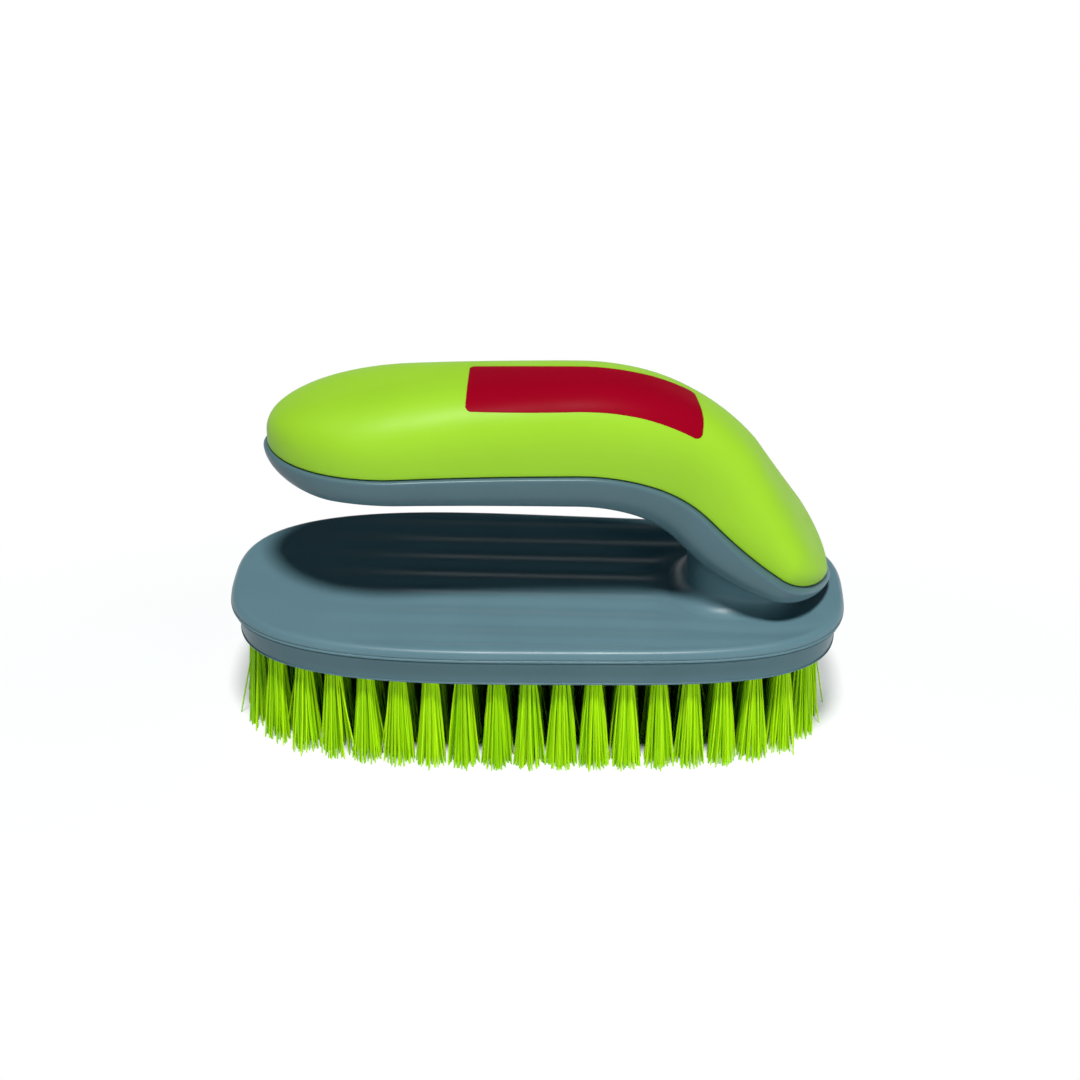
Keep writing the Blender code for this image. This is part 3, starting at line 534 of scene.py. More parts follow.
def read_size(size, inset):
    """A function that gives the size at a length, moved inwards by inset."""
    lengths, values = moved_curve(size, lambda s: -inset)[1:]
    order = np.argsort(lengths)
    return lambda s: np.interp(s, lengths[order], np.maximum(values[order], 0.0))


def half_section(width, reach, exponent, steps):
    """Half of a superellipse from +width to -width, at equal steps of length."""
    turn = np.linspace(0.0, math.pi, CURVE_POINTS)
    c = np.cos(turn)
    y = width * np.sign(c) * np.abs(c) ** (2 / exponent)
    rise = reach * np.sin(turn) ** (2 / exponent)
    return resample(np.column_stack([y, rise]), steps + 1)


def rounded_half(side, base, radius, outline, reach_at, exponent):
    """Closed half of the handle on one side of the parting line. Its flat face lies at
    base from the line, and its edge is rounded. outline gives the border of the flat
    face, moved outwards, and reach_at what lies beyond the edge at each turn."""
    turns = quarter(EDGE_STEPS)[:-1]
    curves = [outline(radius * math.sin(turn)) for turn in turns]
    lifts = [base + radius * (1 - math.cos(turn)) for turn in turns]
    dense_turn, lengths, widths = outline(radius)
    reaches = np.maximum(reach_at(lengths), 0.0)
    rings = []
    for station in range(STATIONS):
        at = math.pi * station / (STATIONS - 1)
        s, width, reach = (np.interp(at, dense_turn, row)
                           for row in (lengths, widths, reaches))
        section = half_section(width, reach, exponent, SECTION_STEPS)
        main = off_path(s, section[:, 0], side * (base + radius + section[:, 1]))
        far = []
        for (edge_turn, edge_lengths, edge_widths), lift in zip(curves, lifts):
            edge_s = np.interp(at, edge_turn, edge_lengths)
            far.append(off_path(edge_s, np.interp(at, edge_turn, edge_widths), side * lift))
        far = np.array(far)
        near = far[::-1] * (1, -1, 1)
        rings.append([tuple(p) for p in np.vstack([main, near, far])])
    return loft(rings, first_cap=False, last_cap=False)


def hollow_half(side, size, exponent, inset):
    """Body that hollows a half of the handle, moved inwards and run past its flat face."""
    width_at = read_size(half_width, inset)
    reach_at = read_size(size, inset)
    rings = []
    for station in range(INNER_STATIONS):
        turn = math.pi * station / (INNER_STATIONS - 1)
        s = inset + (HANDLE_LENGTH - 2 * inset) * (1 - math.cos(turn)) / 2
        inner = 0 < station < INNER_STATIONS - 1
        width = float(width_at(s)) if inner else 0.0
        reach = max(float(reach_at(s)) + OVERRUN, OVERRUN) if inner else 0.0
        section = half_section(width, reach, exponent, INNER_SECTION_STEPS)
        ring = off_path(s, section[:, 0], side * (section[:, 1] - OVERRUN))
        rings.append([tuple(p) for p in ring])
    return loft(rings, first_cap=False, last_cap=False)


def rim_curve(outset):
    """Outline of the grip, moved outwards over the ledge and then by outset."""
    return moved_curve(half_width, lambda s: ledge_width(s) + outset)


def lower_surface():
    """Length, half width and depth of the lower half's outer surface."""
    lengths, widths = rim_curve(RIM_RADIUS)[1:]
    share = (lengths - lengths[0]) / (lengths[-1] - lengths[0])
    return lengths, widths, lower_depth(share * HANDLE_LENGTH)


def lower_outer():
    def reach_at(lengths):
        return lower_surface()[2] - RIM_RADIUS
    return rounded_half(-1, 0.0, RIM_RADIUS, rim_curve, reach_at, LOWER_SECTION_EXPONENT)


def grip_outer():
    def outline(outset):
        return moved_curve(half_width, lambda s: outset - GRIP_EDGE_RADIUS)

    def reach_at(lengths):
        height = grip_height(np.clip(lengths, 0.0, HANDLE_LENGTH))
        return height - PARTING_GAP - GRIP_EDGE_RADIUS
    return rounded_half(1, PARTING_GAP, GRIP_EDGE_RADIUS, outline, reach_at,
                        GRIP_SECTION_EXPONENT)


def underside():
    """A function that gives the height of the lower half's underside over a place."""
    lengths, widths, depths = lower_surface()
    path_x, path_z, turn = handle_path(lengths)
    bent = lengths > HANDLE_STRAIGHT / 2
    reach = np.maximum(depths - RIM_RADIUS, 0.0)

    def height(x, y):
        share = np.minimum(abs(y) / np.maximum(widths, PARTING_GAP), 1.0)
        section_share = (1 - share ** LOWER_SECTION_EXPONENT) ** (1 / LOWER_SECTION_EXPONENT)
        drop = RIM_RADIUS + reach * section_share
        xs = (path_x - drop * np.sin(turn))[bent]
        zs = (path_z - drop * np.cos(turn))[bent]
        order = np.argsort(xs)
        return float(np.interp(x, xs[order], zs[order]))
    return height


def parting_at(x):
    """Height of the parting line at x."""
    lengths = np.linspace(0.0, HANDLE_LENGTH, CURVE_POINTS)
    path_x, path_z, turn = handle_path(lengths)
    return float(np.interp(x, path_x, path_z))


# Cover

def clear_of_neck(x, y):
    """Share of the flutes' depth left by the fillet at the foot of the neck."""
    reach_x = NECK_HALF_LENGTH + NECK_FOOT_FILLET
    reach_y = NECK_HALF_WIDTH + NECK_FOOT_FILLET
    from_x = abs(x - NECK_CENTRE_X) / reach_x
    from_y = abs(y) / reach_y
    size = (from_x ** NECK_EXPONENT + from_y ** NECK_EXPONENT) ** (1 / NECK_EXPONENT)
    share = min(max((size - 1) * reach_y / FLUTE_NECK_MARGIN, 0.0), 1.0)
    return share * share * (3 - 2 * share)


def flute_dip(x, y):
    """Depth of the flutes at a place on the cover; they run out towards the rim."""
    half_band = FLUTE_PITCH * (FLUTES_PER_SIDE + 1 / 2)
    if abs(y) >= half_band:
        return 0.0
    wave = (1 - math.cos(2 * math.pi * y / FLUTE_PITCH)) / 2
    from_end = x + PLATE_LENGTH / 2 - FLUTE_FADE_START
    free_share = min(max(from_end / FLUTE_FADE_LENGTH, 0.0), 1.0)
    from_neck_end = PLATE_LENGTH / 2 - x - FLUTE_RIM_MARGIN
    neck_share = min(max(from_neck_end / FLUTE_RIM_MARGIN, 0.0), 1.0)
    side_share = 1 - (1 - FLUTE_OUTER_SHARE) * (y / half_band) ** 2
    return FLUTE_DEPTH * wave * free_share * neck_share * side_share * clear_of_neck(x, y)


def cover_edge():
    """Inset and height over the cover's underside of each ring of its edge."""
    profile = []
    top_inset = LIP_TOP_RADIUS - LIP_FACE_INSET
    for turn in quarter(2 * EDGE_STEPS):
        profile.append((LIP_BEAD_RADIUS * (1 - math.sin(turn)),
                        LIP_BEAD_RADIUS * (1 - math.cos(turn))))
    for turn in quarter(EDGE_STEPS)[1:]:
        profile.append((LIP_FACE_INSET * 2 * (1 - math.cos(turn)),
                        LIP_BEAD_RADIUS * (1 + math.sin(turn))))
    for turn in quarter(2 * EDGE_STEPS):
        profile.append((LIP_FACE_INSET + top_inset * (1 - math.cos(turn)),
                        COVER_THICKNESS - LIP_TOP_DROP * (1 - math.sin(turn))))
    return profile


def cover_plate():
    """Cover with its rounded lip. Its top has a lattice of points that carries the flutes."""
    rings = [plate_ring(inset, COVER_BOTTOM + rise) for inset, rise in cover_edge()]
    points, faces = loft(rings, last_cap=False)
    rim_start = len(points) - OUTLINE_POINTS
    flat = [(x, y) for x, y, z in points[rim_start:]]
    inner = plate_curve(LIP_TOP_RADIUS + LATTICE_Y_STEP)
    columns, rows = (int(reach) for reach in
                     np.max(inner, axis=0) / (LATTICE_X_STEP, LATTICE_Y_STEP))
    for column in range(-columns, columns + 1):
        x = column * LATTICE_X_STEP
        reach = half_width_at(inner, x)
        for row in range(-rows, rows + 1):
            if abs(row * LATTICE_Y_STEP) < reach:
                flat.append((x, row * LATTICE_Y_STEP))
    places, triangles = fill(flat, loop_edges(0, OUTLINE_POINTS))
    for x, y in places[OUTLINE_POINTS:]:
        points.append((x, y, COVER_TOP - flute_dip(x, y)))
    for face in triangles:
        faces.append(tuple(rim_start + i for i in face))
    return points, faces


# Neck

def neck_outline(grow):
    turn = np.linspace(0.0, 2 * math.pi, 2 * CURVE_POINTS, endpoint=False)
    c = np.cos(turn)
    s = np.sin(turn)
    power = 2 / NECK_EXPONENT
    x = (NECK_HALF_LENGTH + grow) * np.sign(c) * np.abs(c) ** power
    y = (NECK_HALF_WIDTH + grow) * np.sign(s) * np.abs(s) ** power
    return resample(np.column_stack([NECK_CENTRE_X + x, y]), NECK_POINTS, closed=True)


def neck():
    """Waisted neck with a fillet at its foot and one under the handle."""
    foot = COVER_TOP - NECK_FOOT_DROP
    under = underside()
    rings = [[(x, y, foot - NECK_SINK) for x, y in neck_outline(NECK_FOOT_FILLET)]]
    turns = quarter(NECK_STEPS)
    for turn in turns:
        ring = []
        for x, y in neck_outline(NECK_FOOT_FILLET * (1 - math.sin(turn))):
            radius = min(NECK_FOOT_FILLET, (under(x, y) - foot) * NECK_FOOT_SHARE)
            ring.append((x, y, foot + radius * (1 - math.cos(turn))))
        rings.append(ring)
    for turn in reversed(turns):
        ring = []
        for x, y in neck_outline(NECK_TOP_FILLET * (1 - math.sin(turn))):
            roof = under(x, y)
            radius = min(NECK_TOP_FILLET, (roof - foot) * NECK_TOP_SHARE)
            ring.append((x, y, roof - radius * (1 - math.cos(turn))))
        rings.append(ring)
    rings.append([(x, y, z + NECK_SINK) for x, y, z in rings[-1]])
    rings.append([(x, y, parting_at(x) - NECK_TOP_DROP) for x, y in neck_outline(0.0)])
    return loft(rings)


def neck_core():
    """Hollow of the neck, open downwards."""
    ring = neck_outline(-LOWER_WALL)
    under = underside()
    low = [(x, y, COVER_BOTTOM - OVERRUN) for x, y in ring]
    high = []
    for x, y in ring:
        roof = under(x, y) - CORE_ROOF_MARGIN
        high.append((x, y, max(roof, COVER_BOTTOM + LOWER_WALL / 2)))
    return loft([low, high])


# Label

def grip_surface(s, y, outset):
    """Point on the grip over y at length s, moved outwards by outset."""
    base = PARTING_GAP + GRIP_EDGE_RADIUS
    share = min(abs(y) / float(half_width(s)), 1.0)
    section_share = (1 - share ** GRIP_SECTION_EXPONENT) ** (1 / GRIP_SECTION_EXPONENT)
    rise = base + (float(grip_height(s)) - base) * section_share
    return tuple(off_path(s, y, rise + outset))


def shaped_label(s, y):
    """A place on a straight label, moved to where the narrowing, bowed label has it."""
    along = (s - LABEL_START) / LABEL_LENGTH
    from_middle = y - LABEL_MIDDLE_Y
    slant = LABEL_END_SLANT * along * from_middle / LABEL_WIDTH
    bow = 4 * LABEL_BOW * along * (1 - along)
    return s - slant, y - from_middle * (1 - LABEL_END_SHARE) * along - bow


def label_outline(grow):
    """Round-cornered outline in length along the handle and y across it."""
    radius = LABEL_CORNER + grow
    inner_s = LABEL_LENGTH / 2 + grow - radius
    inner_y = LABEL_WIDTH / 2 + grow - radius
    outline = []
    for corner, (sign_s, sign_y) in enumerate(((1, 1), (-1, 1), (-1, -1), (1, -1))):
        for step in range(2 * EDGE_STEPS + 1):
            turn = math.pi / 2 * (corner + step / (2 * EDGE_STEPS))
            outline.append((LABEL_MIDDLE_S + sign_s * inner_s + radius * math.cos(turn),
                            LABEL_MIDDLE_Y + sign_y * inner_y + radius * math.sin(turn)))
    dense = []
    for start, end in zip(outline, outline[1:] + outline[:1]):
        pieces = max(1, round(math.dist(start, end) / LABEL_STEP))
        for i in range(pieces):
            share = i / pieces
            dense.append((start[0] + (end[0] - start[0]) * share,
                          start[1] + (end[1] - start[1]) * share))
    return [shaped_label(s, y) for s, y in dense]


def label_body(rims, low_grow, low):
    """Curved sheet over the label's outline. rims are pairs of how far an outline is grown
    and its height over the grip, from the edge to the flat top."""
    outlines = [label_outline(grow) for grow, height in rims]
    count = len(outlines[-1])
    flat = list(outlines[-1])
    rows = int(LABEL_LENGTH / LABEL_STEP)
    columns = int(LABEL_WIDTH / LABEL_STEP)
    for row in range(1, rows):
        for column in range(1, columns):
            s = LABEL_START + LABEL_LENGTH * row / rows
            y = LABEL_WIDTH * column / columns - LABEL_NEAR_EDGE
            past_s = abs(s - LABEL_MIDDLE_S) - LABEL_LENGTH / 2 + LABEL_CORNER
            past_y = abs(y - LABEL_MIDDLE_Y) - LABEL_WIDTH / 2 + LABEL_CORNER
            past_corner = math.hypot(max(past_s, 0.0), max(past_y, 0.0))
            if past_corner < LABEL_CORNER - LABEL_STEP / 2:
                flat.append(shaped_label(s, y))
    places, triangles = fill(flat, loop_edges(0, count))
    top_height = rims[-1][1]
    points = [grip_surface(s, y, top_height) for s, y in places]
    total = len(points)
    points += [grip_surface(s, y, low) for s, y in places[count:]]
    low_ring = len(points)
    points += [grip_surface(s, y, low) for s, y in label_outline(low_grow)]
    faces = [tuple(face) for face in triangles]
    for face in triangles:
        under = [low_ring + i if i < count else total + i - count for i in face]
        faces.append(tuple(reversed(under)))
    rings = [low_ring]
    for (grow, height), outline in zip(rims[:-1], outlines[:-1]):
        rings.append(len(points))
        points += [grip_surface(s, y, height) for s, y in outline]
    rings.append(0)
    for lower, upper in zip(rings, rings[1:]):
        faces += band(lower, upper, count)
    return points, faces


# Tufts

def ring_pairs():
    """Tufts of the outer ring as pairs on both sides, from the neck end."""
    curve = plate_curve(RING_INSET)
    steps = np.linalg.norm(np.diff(np.vstack([curve, curve[:1]]), axis=0), axis=1)
    count = 2 * round(float(np.sum(steps)) / TUFT_PITCH / 2)
    ring = resample(curve, 2 * count, closed=True)
    return [tuple(ring[2 * i + 1]) for i in range(count // 2)]


def tuft_rows():
    """Tuft places row by row; the two pairs at each end share a row."""
    pairs = ring_pairs()
    rows = [[(x, side * y) for x, y in pairs[:2] for side in (-1, 1)]]
    for x, y in pairs[2:-2]:
        spaces = max(1, round(2 * y / TUFT_ROW_PITCH))
        rows.append([(x, y * (2 * i / spaces - 1)) for i in range(spaces + 1)])
    rows.append([(x, side * y) for x, y in pairs[-2:] for side in (-1, 1)])
    return [[(drawn_back(x), y) for x, y in row] for row in rows]


def drawn_back(x):
    """A place along x moved away from the neck end, the more the nearer it lies to it."""
    return x - NECK_END_SHIFT * (x / PLATE_LENGTH + 0.5) ** 2


def block_edge():
    """Inset and height over the block's underside of each ring of its side."""
    bead_inset = SKIRT_SETBACK + SKIRT_DRAFT + FOOT_BEAD_SINK
    profile = []
    for turn in quarter(EDGE_STEPS):
        profile.append((bead_inset - FOOT_BEAD_RADIUS * math.sin(turn),
                        FOOT_BEAD_RADIUS * (1 - math.cos(turn))))
    for turn in quarter(EDGE_STEPS)[1:-1]:
        profile.append((bead_inset - FOOT_BEAD_RADIUS * math.cos(turn),
                        FOOT_BEAD_RADIUS * (1 + math.sin(turn))))
    flange_low = TUFT_BLOCK_HEIGHT - FLANGE_HEIGHT
    for turn in quarter(EDGE_STEPS):
        profile.append((SKIRT_SETBACK - SKIRT_FILLET * (1 - math.cos(turn)),
                        flange_low - SKIRT_FILLET * (1 - math.sin(turn))))
    for turn in quarter(EDGE_STEPS):
        profile.append((FLANGE_INSET + FLANGE_RADIUS * (1 - math.sin(turn)),
                        flange_low + FLANGE_RADIUS * (1 - math.cos(turn))))
    for turn in quarter(EDGE_STEPS)[1:]:
        profile.append((FLANGE_INSET + FLANGE_RADIUS * (1 - math.cos(turn)),
                        TUFT_BLOCK_HEIGHT - FLANGE_RADIUS * (1 - math.sin(turn))))
    return profile


def tuft_block_body():
    """Block with a hole for each tuft in its underside."""
    rings = [plate_ring(inset, BRISTLE_LENGTH + rise) for inset, rise in block_edge()]
    points, faces = loft(rings, first_cap=False)
    flat = [(x, y) for x, y, z in rings[0]]
    edges = loop_edges(0, OUTLINE_POINTS)
    turns = [2 * math.pi * i / HOLE_SIDES for i in range(HOLE_SIDES)]
    circle = [(HOLE_RADIUS * math.cos(turn), HOLE_RADIUS * math.sin(turn)) for turn in turns]
    tufts = [tuft for row in tuft_rows() for tuft in row]
    for x, y in tufts:
        edges += loop_edges(len(flat), HOLE_SIDES)
        flat += [(x + dx, y + dy) for dx, dy in circle]
    shift = len(points)
    points += [(x, y, BRISTLE_LENGTH) for x, y in flat[OUTLINE_POINTS:]]

    def place_of(i):
        return i if i < OUTLINE_POINTS else shift + i - OUTLINE_POINTS

    for face in fill(flat, edges)[1]:
        holes = {max(i - OUTLINE_POINTS, -1) // HOLE_SIDES for i in face}
        if len(holes) == 1 and -1 not in holes:
            continue
        faces.append(tuple(place_of(i) for i in reversed(face)))
    for number, (x, y) in enumerate(tufts):
        low = shift + number * HOLE_SIDES
        high = len(points)
        points += [(x + dx, y + dy, BRISTLE_LENGTH + HOLE_DEPTH) for dx, dy in circle]
        for i in range(HOLE_SIDES):
            j = (i + 1) % HOLE_SIDES
            faces.append((low + i, high + i, high + j, low + j))
        faces.append(tuple(high + i for i in range(HOLE_SIDES)))
    return points, faces


def tuft_filaments(x, y, edge, chance):
    """Root, tip, bend, turn and tint of each filament of the tuft at x, y. Tufts near the
    edge of the field lean outwards."""
    golden = math.pi * (3 - math.sqrt(5))
    from_edge = float(np.min(np.hypot(edge[:, 0] - x, edge[:, 1] - y)))
    outer_share = 1 - min(1.0, from_edge / TUFT_PITCH)
    lean = OUTWARD_LEAN * outer_share / max(math.hypot(x, y), TUFT_PITCH)
    made = []
    for number in range(FILAMENTS_PER_TUFT):
        turn = number * golden + chance.uniform(-TURN_SCATTER, TURN_SCATTER)
        reach = math.sqrt((number + 0.5) / FILAMENTS_PER_TUFT)
        root = ROOT_RADIUS * reach
        tip = TIP_RADIUS * reach
        stray = chance.random() < STRAY_SHARE
        scatter = STRAY_SCATTER if stray else TIP_SCATTER
        tip_x = x + tip * math.cos(turn) + x * lean + chance.gauss(0, scatter)
        tip_y = y + tip * math.sin(turn) + y * lean + chance.gauss(0, scatter)
        tip_z = TIP_RAGGEDNESS * abs(chance.gauss(0, RAGGED_SCATTER))
        # The last entry is the tint. Strays are drawn lighter there, as a painted highlight
        made.append((x + root * math.cos(turn), y + root * math.sin(turn),
                     tip_x, tip_y, min(tip_z, RAGGED_LIMIT * TIP_RAGGEDNESS),
                     chance.gauss(0, BEND_SCATTER), chance.gauss(0, BEND_SCATTER),
                     chance.uniform(0, 2 * math.pi),
                     chance.random() + (STRAY_HIGHLIGHT if stray else 0.0)))
    return made


def bristle_mesh(name, filaments):
    """One mesh of all given filaments, with a tint for each and a map for baking."""
    data = np.array(filaments)
    count = len(data)
    rings = len(FILAMENT_RING_SHARES)
    sides = FILAMENT_SIDES
    share = np.array(FILAMENT_RING_SHARES)[None, :, None]
    over = FILAMENT_SINK / BRISTLE_LENGTH
    root = np.column_stack([data[:, 0] - (data[:, 2] - data[:, 0]) * over,
                            data[:, 1] - (data[:, 3] - data[:, 1]) * over,
                            np.full(count, BRISTLE_LENGTH + FILAMENT_SINK)])
    tip = data[:, 2:5]
    bend = np.column_stack([data[:, 5:7], np.zeros(count)])
    centre = root[:, None, :] * (1 - share) + tip[:, None, :] * share
    centre = centre + bend[:, None, :] * 4 * share * (1 - share)
    radius = np.full(rings, FILAMENT_RADIUS)
    radius[-1] *= FILAMENT_TIP_SHARE
    angle = data[:, 7][:, None] + 2 * math.pi * np.arange(sides)[None, :] / sides
    around = np.stack([np.cos(angle), np.sin(angle), np.zeros_like(angle)], axis=-1)
    points = centre[:, :, None, :] + radius[None, :, None, None] * around[:, None, :, :]
    low_corner, high_corner = np.array(packed_box)
    margin = FIELD_LIMIT_INSET * np.array((1, 1, 0))
    points = np.clip(points.reshape(-1, 3), low_corner + margin, high_corner - margin)
    faces = []
    corners = []
    cells = math.ceil(math.sqrt(count))
    for number in range(count):
        start = number * rings * sides
        cell_x = number % cells
        cell_y = number // cells
        for ring in range(rings - 1):
            a = start + ring * sides
            b = a + sides
            v0 = (cell_y + CELL_MARGIN + CELL_SIDE_HEIGHT * ring / (rings - 1)) / cells
            v1 = (cell_y + CELL_MARGIN + CELL_SIDE_HEIGHT * (ring + 1) / (rings - 1)) / cells
            for i in range(sides):
                j = (i + 1) % sides
                faces.append((a + i, a + j, b + j, b + i))
                u0 = (cell_x + CELL_MARGIN + CELL_SIDE_WIDTH * i / sides) / cells
                u1 = (cell_x + CELL_MARGIN + CELL_SIDE_WIDTH * (i + 1) / sides) / cells
                corners += [u0, v0, u1, v0, u1, v1, u0, v1]
        faces.append(tuple(start + i for i in range(sides))[::-1])
        faces.append(tuple(start + (rings - 1) * sides + i for i in range(sides)))
        for place in CELL_END_PLACES:
            for i in range(sides):
                turn = 2 * math.pi * i / sides
                u0 = cell_x + place + CELL_END_RADIUS * math.cos(turn)
                v0 = cell_y + CELL_END_HEIGHT + CELL_END_RADIUS * math.sin(turn)
                corners += [u0 / cells, v0 / cells]
    mesh = bpy.data.meshes.new(name)
    mesh.from_pydata(points.tolist(), [], faces)
    tint = mesh.attributes.new("tint", "FLOAT", "POINT")
    tint.data.foreach_set("value", np.repeat(data[:, 8], rings * sides).astype(np.float32))
    layer = mesh.uv_layers.new(name="OFBake")
    layer.uv.foreach_set("vector", np.array(corners, dtype=np.float32))
    return object_of(mesh, False)


# Materials

def add_node(tree, kind, **settings):
    node = tree.nodes.new(kind)
    for name, value in settings.items():
        setattr(node, name, value)
    return node


def new_material(name, roughness, gloss):
    material = bpy.data.materials.new(name)
    material.use_nodes = True
    tree = material.node_tree
    shader = tree.nodes["Principled BSDF"]
    shader.inputs["Roughness"].default_value = roughness
    shader.inputs["Metallic"].default_value = 0.0
    shader.inputs["Specular IOR Level"].default_value = gloss
    return material, tree, shader


def position(tree, kind="Object"):
    return add_node(tree, "ShaderNodeTexCoord").outputs[kind]


def height_in(tree, vector):
    parts = add_node(tree, "ShaderNodeSeparateXYZ")
    tree.links.new(vector, parts.inputs[0])
    return parts.outputs["Z"]


def calculate(tree, operation, first, second):
    node = add_node(tree, "ShaderNodeMath", operation=operation)
    tree.links.new(first, node.inputs[0])
    tree.links.new(second, node.inputs[1])
    return node.outputs[0]


def scaled_position(tree, scale):
    mapping = add_node(tree, "ShaderNodeMapping")
    mapping.inputs["Scale"].default_value = scale
    tree.links.new(position(tree), mapping.inputs["Vector"])
    return mapping.outputs["Vector"]


def noise(tree, scale, detail, stretch=(1, 1, 1)):
    """Noise in real size, stretched along an axis by a small scale there."""
    texture = add_node(tree, "ShaderNodeTexNoise")
    texture.inputs["Scale"].default_value = scale
    texture.inputs["Detail"].default_value = detail
    tree.links.new(scaled_position(tree, stretch), texture.inputs["Vector"])
    return texture.outputs["Fac"]


def map_range(tree, value, start_end, first_last, kind):
    """A number that goes from first to last while value goes from start to end."""
    node = add_node(tree, "ShaderNodeMapRange", interpolation_type=kind)
    node.inputs["From Min"].default_value, node.inputs["From Max"].default_value = start_end
    node.inputs["To Min"].default_value, node.inputs["To Max"].default_value = first_last
    tree.links.new(value, node.inputs["Value"])
    return node.outputs["Result"]


def spread(tree, value, low, high):
    """Noise turned into a number between low and high."""
    return map_range(tree, value, NOISE_RANGE, (low, high), "LINEAR")


def ramp(tree, value, start_end, first_last):
    """The same, but smooth at both ends."""
    return map_range(tree, value, start_end, first_last, "SMOOTHSTEP")


def mix_colours(tree, share, kind):
    """Both colour inputs of a mix and its colour output."""
    node = add_node(tree, "ShaderNodeMix", data_type="RGBA", blend_type=kind)
    tree.links.new(share, node.inputs[0])
    sockets = [socket for socket in (*node.inputs, *node.outputs) if socket.type == "RGBA"]
    return sockets[:3]


def blend_colours(tree, share, first, second):
    low, high, result = mix_colours(tree, share, "MIX")
    low.default_value = (*first, 1.0)
    high.default_value = (*second, 1.0)
    return result


def tinted(tree, colour, share, tint):
    """A colour multiplied by a tint in the given share."""
    low, high, result = mix_colours(tree, share, "MULTIPLY")
    high.default_value = (*tint, 1.0)
    tree.links.new(colour, low)
    return result


def mix_shaders(tree, share, first, second, output):
    """Send first and second to the output, mixed in the given share."""
    mix = add_node(tree, "ShaderNodeMixShader")
    tree.links.new(share, mix.inputs["Fac"])
    tree.links.new(first.outputs[0], mix.inputs[1])
    tree.links.new(second.outputs[0], mix.inputs[2])
    tree.links.new(mix.outputs[0], tree.nodes[output].inputs["Surface"])


def add_grain(tree, shader, height, depth):
    node = add_node(tree, "ShaderNodeBump")
    node.inputs["Strength"].default_value = 1.0
    node.inputs["Distance"].default_value = depth
    tree.links.new(height, node.inputs["Height"])
    tree.links.new(node.outputs["Normal"], shader.inputs["Normal"])


def moulded_plastic(name, light, dark, gloss, roughness, roughness_spread, grain_scale,
                    grain_depth, upper_painted_shade=None):
    """Moulded plastic with faint clouds of colour, uneven gloss and a fine grain. Its upper
    parts may be drawn darker, as a painted shade."""
    material, tree, shader = new_material(name, roughness, gloss)
    clouds = spread(tree, noise(tree, *CLOUD_NOISE), 0.0, 1.0)
    colour = blend_colours(tree, clouds, light, dark)
    if upper_painted_shade:
        # Painted shade: the colour is multiplied darker from a height over the cover on
        share = ramp(tree, height_in(tree, position(tree)),
                     (COVER_TOP + PAINTED_SHADE_START, COVER_TOP + PAINTED_SHADE_END), (0.0, 1.0))
        colour = tinted(tree, colour, share, upper_painted_shade)
    tree.links.new(colour, shader.inputs["Base Color"])
    rough = spread(tree, noise(tree, *GLOSS_NOISE), roughness - roughness_spread,
                   roughness + roughness_spread)
    tree.links.new(rough, shader.inputs["Roughness"])
    add_grain(tree, shader, noise(tree, grain_scale, GRAIN_DETAIL), grain_depth)
    return material


def bristle_material():
    """Synthetic filaments, each with its own tint."""
    material, tree, shader = new_material("bristle_green", BRISTLE_ROUGHNESS, BRISTLE_GLOSS)
    tint = add_node(tree, "ShaderNodeAttribute", attribute_name="tint")
    colour = blend_colours(tree, tint.outputs["Fac"], BRISTLE_DARK, BRISTLE_LIGHT)
    tree.links.new(colour, shader.inputs["Base Color"])
    streaks = noise(tree, *STREAK_NOISE, STREAK_STRETCH)
    rough = spread(tree, streaks, *BRISTLE_ROUGHNESS_RANGE)
    tree.links.new(rough, shader.inputs["Roughness"])
    return material


# Pieces

def build_body(material):
    body = new_object("body_moulding", *cover_plate())
    combine(body, "UNION", new_object("neck_shape", *neck()))
    combine(body, "UNION", new_object("lower_shape", *lower_outer()))
    channel = hollow_half(-1, lower_depth, LOWER_SECTION_EXPONENT, LOWER_WALL)
    combine(body, "DIFFERENCE", new_object("channel_shape", *channel))
    combine(body, "DIFFERENCE", new_object("core_shape", *neck_core()))
    finish_piece(body, material, ["handle_frame"])


def build_grip(material):
    grip = new_object("grip_moulding", *grip_outer())
    hollow = hollow_half(1, grip_height, GRIP_SECTION_EXPONENT, GRIP_WALL)
    combine(grip, "DIFFERENCE", new_object("grip_hollow_shape", *hollow))
    recess = label_body([(LABEL_GAP, 0.0), (LABEL_GAP, OVERRUN)], LABEL_GAP,
                        -LABEL_THICKNESS)
    combine(grip, "DIFFERENCE", new_object("recess_shape", *recess))
    finish_piece(grip, material, ["grip_shell"])


def build_label(material):
    radius = LABEL_EDGE_RADIUS
    rims = [(radius * (math.cos(turn) - 1), radius * (math.sin(turn) - 1))
            for turn in quarter(EDGE_STEPS)]
    label = new_object("label_sheet", *label_body(rims, 0.0, LABEL_GAP - LABEL_THICKNESS))
    finish_piece(label, material, ["grip_label"])


def build_block(material):
    block = new_object("block_moulding", *tuft_block_body())
    finish_piece(block, material, ["tuft_block"])


def build_bristles(material):
    chance = random.Random(RANDOM_SEED)
    edge = plate_curve(RING_INSET)
    rows = tuft_rows()
    first = 0
    for group, count in enumerate(ROWS_IN_GROUPS, start=1):
        filaments = []
        for row in rows[first:first + count]:
            for x, y in row:
                filaments += tuft_filaments(x, y, edge, chance)
        item = bristle_mesh(f"bristles_{group}", filaments)
        nodes = [f"tuft_row_{number:02d}" for number in range(first + 1, first + count + 1)]
        finish_piece(item, material, nodes)
        first += count


# Stage, lamps and camera

def seen_directly(tree):
    """1 for the camera's rays, reflections and glass, and 0 for rays that carry light."""
    rays = add_node(tree, "ShaderNodeLightPath").outputs
    both = calculate(tree, "MAXIMUM", rays["Is Camera Ray"], rays["Is Glossy Ray"])
    return calculate(tree, "MAXIMUM", both, rays["Is Transmission Ray"])


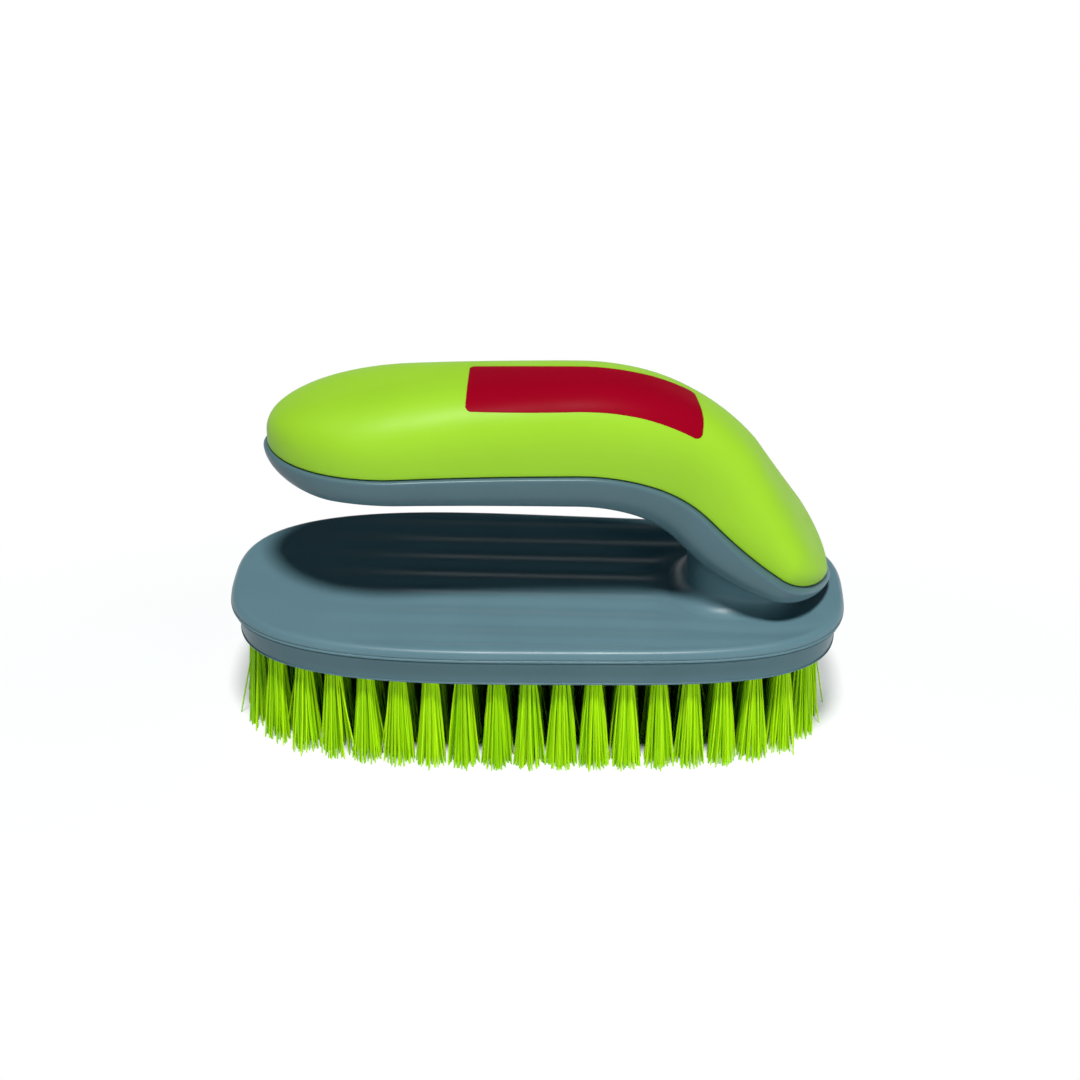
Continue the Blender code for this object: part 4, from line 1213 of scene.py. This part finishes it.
def add_world():
    """Weak light from all round. The camera sees it white, and reflections show the sky."""
    world = bpy.data.worlds.new("studio")
    world.use_nodes = True
    bpy.context.scene.world = world
    tree = world.node_tree
    light = tree.nodes["Background"]
    light.inputs["Color"].default_value = (*AMBIENT_TINT, 1)
    light.inputs["Strength"].default_value = AMBIENT_STRENGTH
    white = add_node(tree, "ShaderNodeBackground")
    white.inputs["Color"].default_value = (1, 1, 1, 1)
    sky = ramp(tree, height_in(tree, position(tree, "Generated")),
               (SKY_WHITE_BELOW, SKY_DARK_ABOVE), (1.0, SKY_DARK_STRENGTH))
    rays = add_node(tree, "ShaderNodeLightPath").outputs
    strength = calculate(tree, "MAXIMUM", sky, rays["Is Camera Ray"])
    tree.links.new(strength, white.inputs["Strength"])
    mix_shaders(tree, seen_directly(tree), light, white, "World Output")


def add_floor():
    """Matt floor that the eye sees whiter than the light does, mixed with plain white."""
    half = FLOOR_SIZE / 2
    ring = [(-half, -half, 0), (half, -half, 0), (half, half, 0), (-half, half, 0)]
    floor = new_object("floor", ring, [(0, 1, 2, 3)])
    material, tree, shader = new_material("floor_white", 1.0, 0.0)
    tree.nodes.remove(shader)
    matt = add_node(tree, "ShaderNodeBsdfDiffuse")
    white = add_node(tree, "ShaderNodeEmission")
    white.inputs["Strength"].default_value = 1.0
    seen = seen_directly(tree)
    tone = blend_colours(tree, seen, [FLOOR_TONE] * 3, [FLOOR_SEEN_TONE] * 3)
    tree.links.new(tone, matt.inputs["Color"])
    length = add_node(tree, "ShaderNodeVectorMath", operation="LENGTH")
    tree.links.new(scaled_position(tree, (2 / FOOTPRINT_LENGTH, 2 / FOOTPRINT_WIDTH, 1.0)),
                   length.inputs[0])
    distance = length.outputs["Value"]
    near = ramp(tree, distance, FLOOR_RING_SHARES[:2], (0.0, FLOOR_WHITE_SHARE))
    far = ramp(tree, distance, FLOOR_RING_SHARES[2:], (0.0, 1 - FLOOR_WHITE_SHARE))
    share = calculate(tree, "MULTIPLY", calculate(tree, "ADD", near, far), seen)
    mix_shaders(tree, share, matt, white, "Material Output")
    floor.data.materials.append(material)


def add_lamp(name, width, height, tilt, turn, power, gives_highlights):
    """A soft lamp, tilted from straight above to the camera's side and turned from there
    to the right."""
    data = bpy.data.lights.new(name, "AREA")
    data.shape = "ELLIPSE"
    data.size = width
    data.size_y = height
    data.energy = power
    lamp = bpy.data.objects.new(name, data)
    away = Vector((math.sin(tilt) * math.sin(turn), -math.sin(tilt) * math.cos(turn),
                   math.cos(tilt)))
    lamp.location = Vector(CAMERA_TARGET) + away * LAMP_DISTANCE
    lamp.rotation_euler = away.to_track_quat("Z", "Y").to_euler()
    lamp.visible_glossy = gives_highlights
    bpy.context.scene.collection.objects.link(lamp)


def add_camera():
    data = bpy.data.cameras.new("camera")
    data.lens = CAMERA_LENS
    data.sensor_width = CAMERA_SENSOR
    data.clip_start = CAMERA_NEAR
    camera = bpy.data.objects.new("camera", data)
    level = Vector((math.sin(CAMERA_TURN), math.cos(CAMERA_TURN), 0.0))
    view = level * math.cos(CAMERA_TILT) - Vector((0.0, 0.0, math.sin(CAMERA_TILT)))
    camera.location = Vector(CAMERA_TARGET) - view * CAMERA_DISTANCE
    camera.rotation_euler = view.to_track_quat("-Z", "Y").to_euler()
    bpy.context.scene.collection.objects.link(camera)
    bpy.context.scene.camera = camera


def build():
    bpy.context.scene.view_settings.view_transform = "Standard"
    add_camera()
    add_world()
    add_floor()
    add_lamp("key_lamp", KEY_WIDTH, KEY_HEIGHT, KEY_TILT, KEY_TURN, KEY_POWER, True)
    add_lamp("fill_lamp", FILL_WIDTH, FILL_HEIGHT, FILL_TILT, FILL_TURN, FILL_POWER, False)
    build_body(moulded_plastic("grey_satin", **COVER_GREY, upper_painted_shade=HANDLE_PAINTED_SHADE))
    build_grip(moulded_plastic("green_satin", **GRIP_GREEN))
    build_label(moulded_plastic("label_red", **LABEL_RED))
    build_block(moulded_plastic("grey_satin_block_shaded", **BLOCK_SHADED_GREY))
    build_bristles(bristle_material())


build()
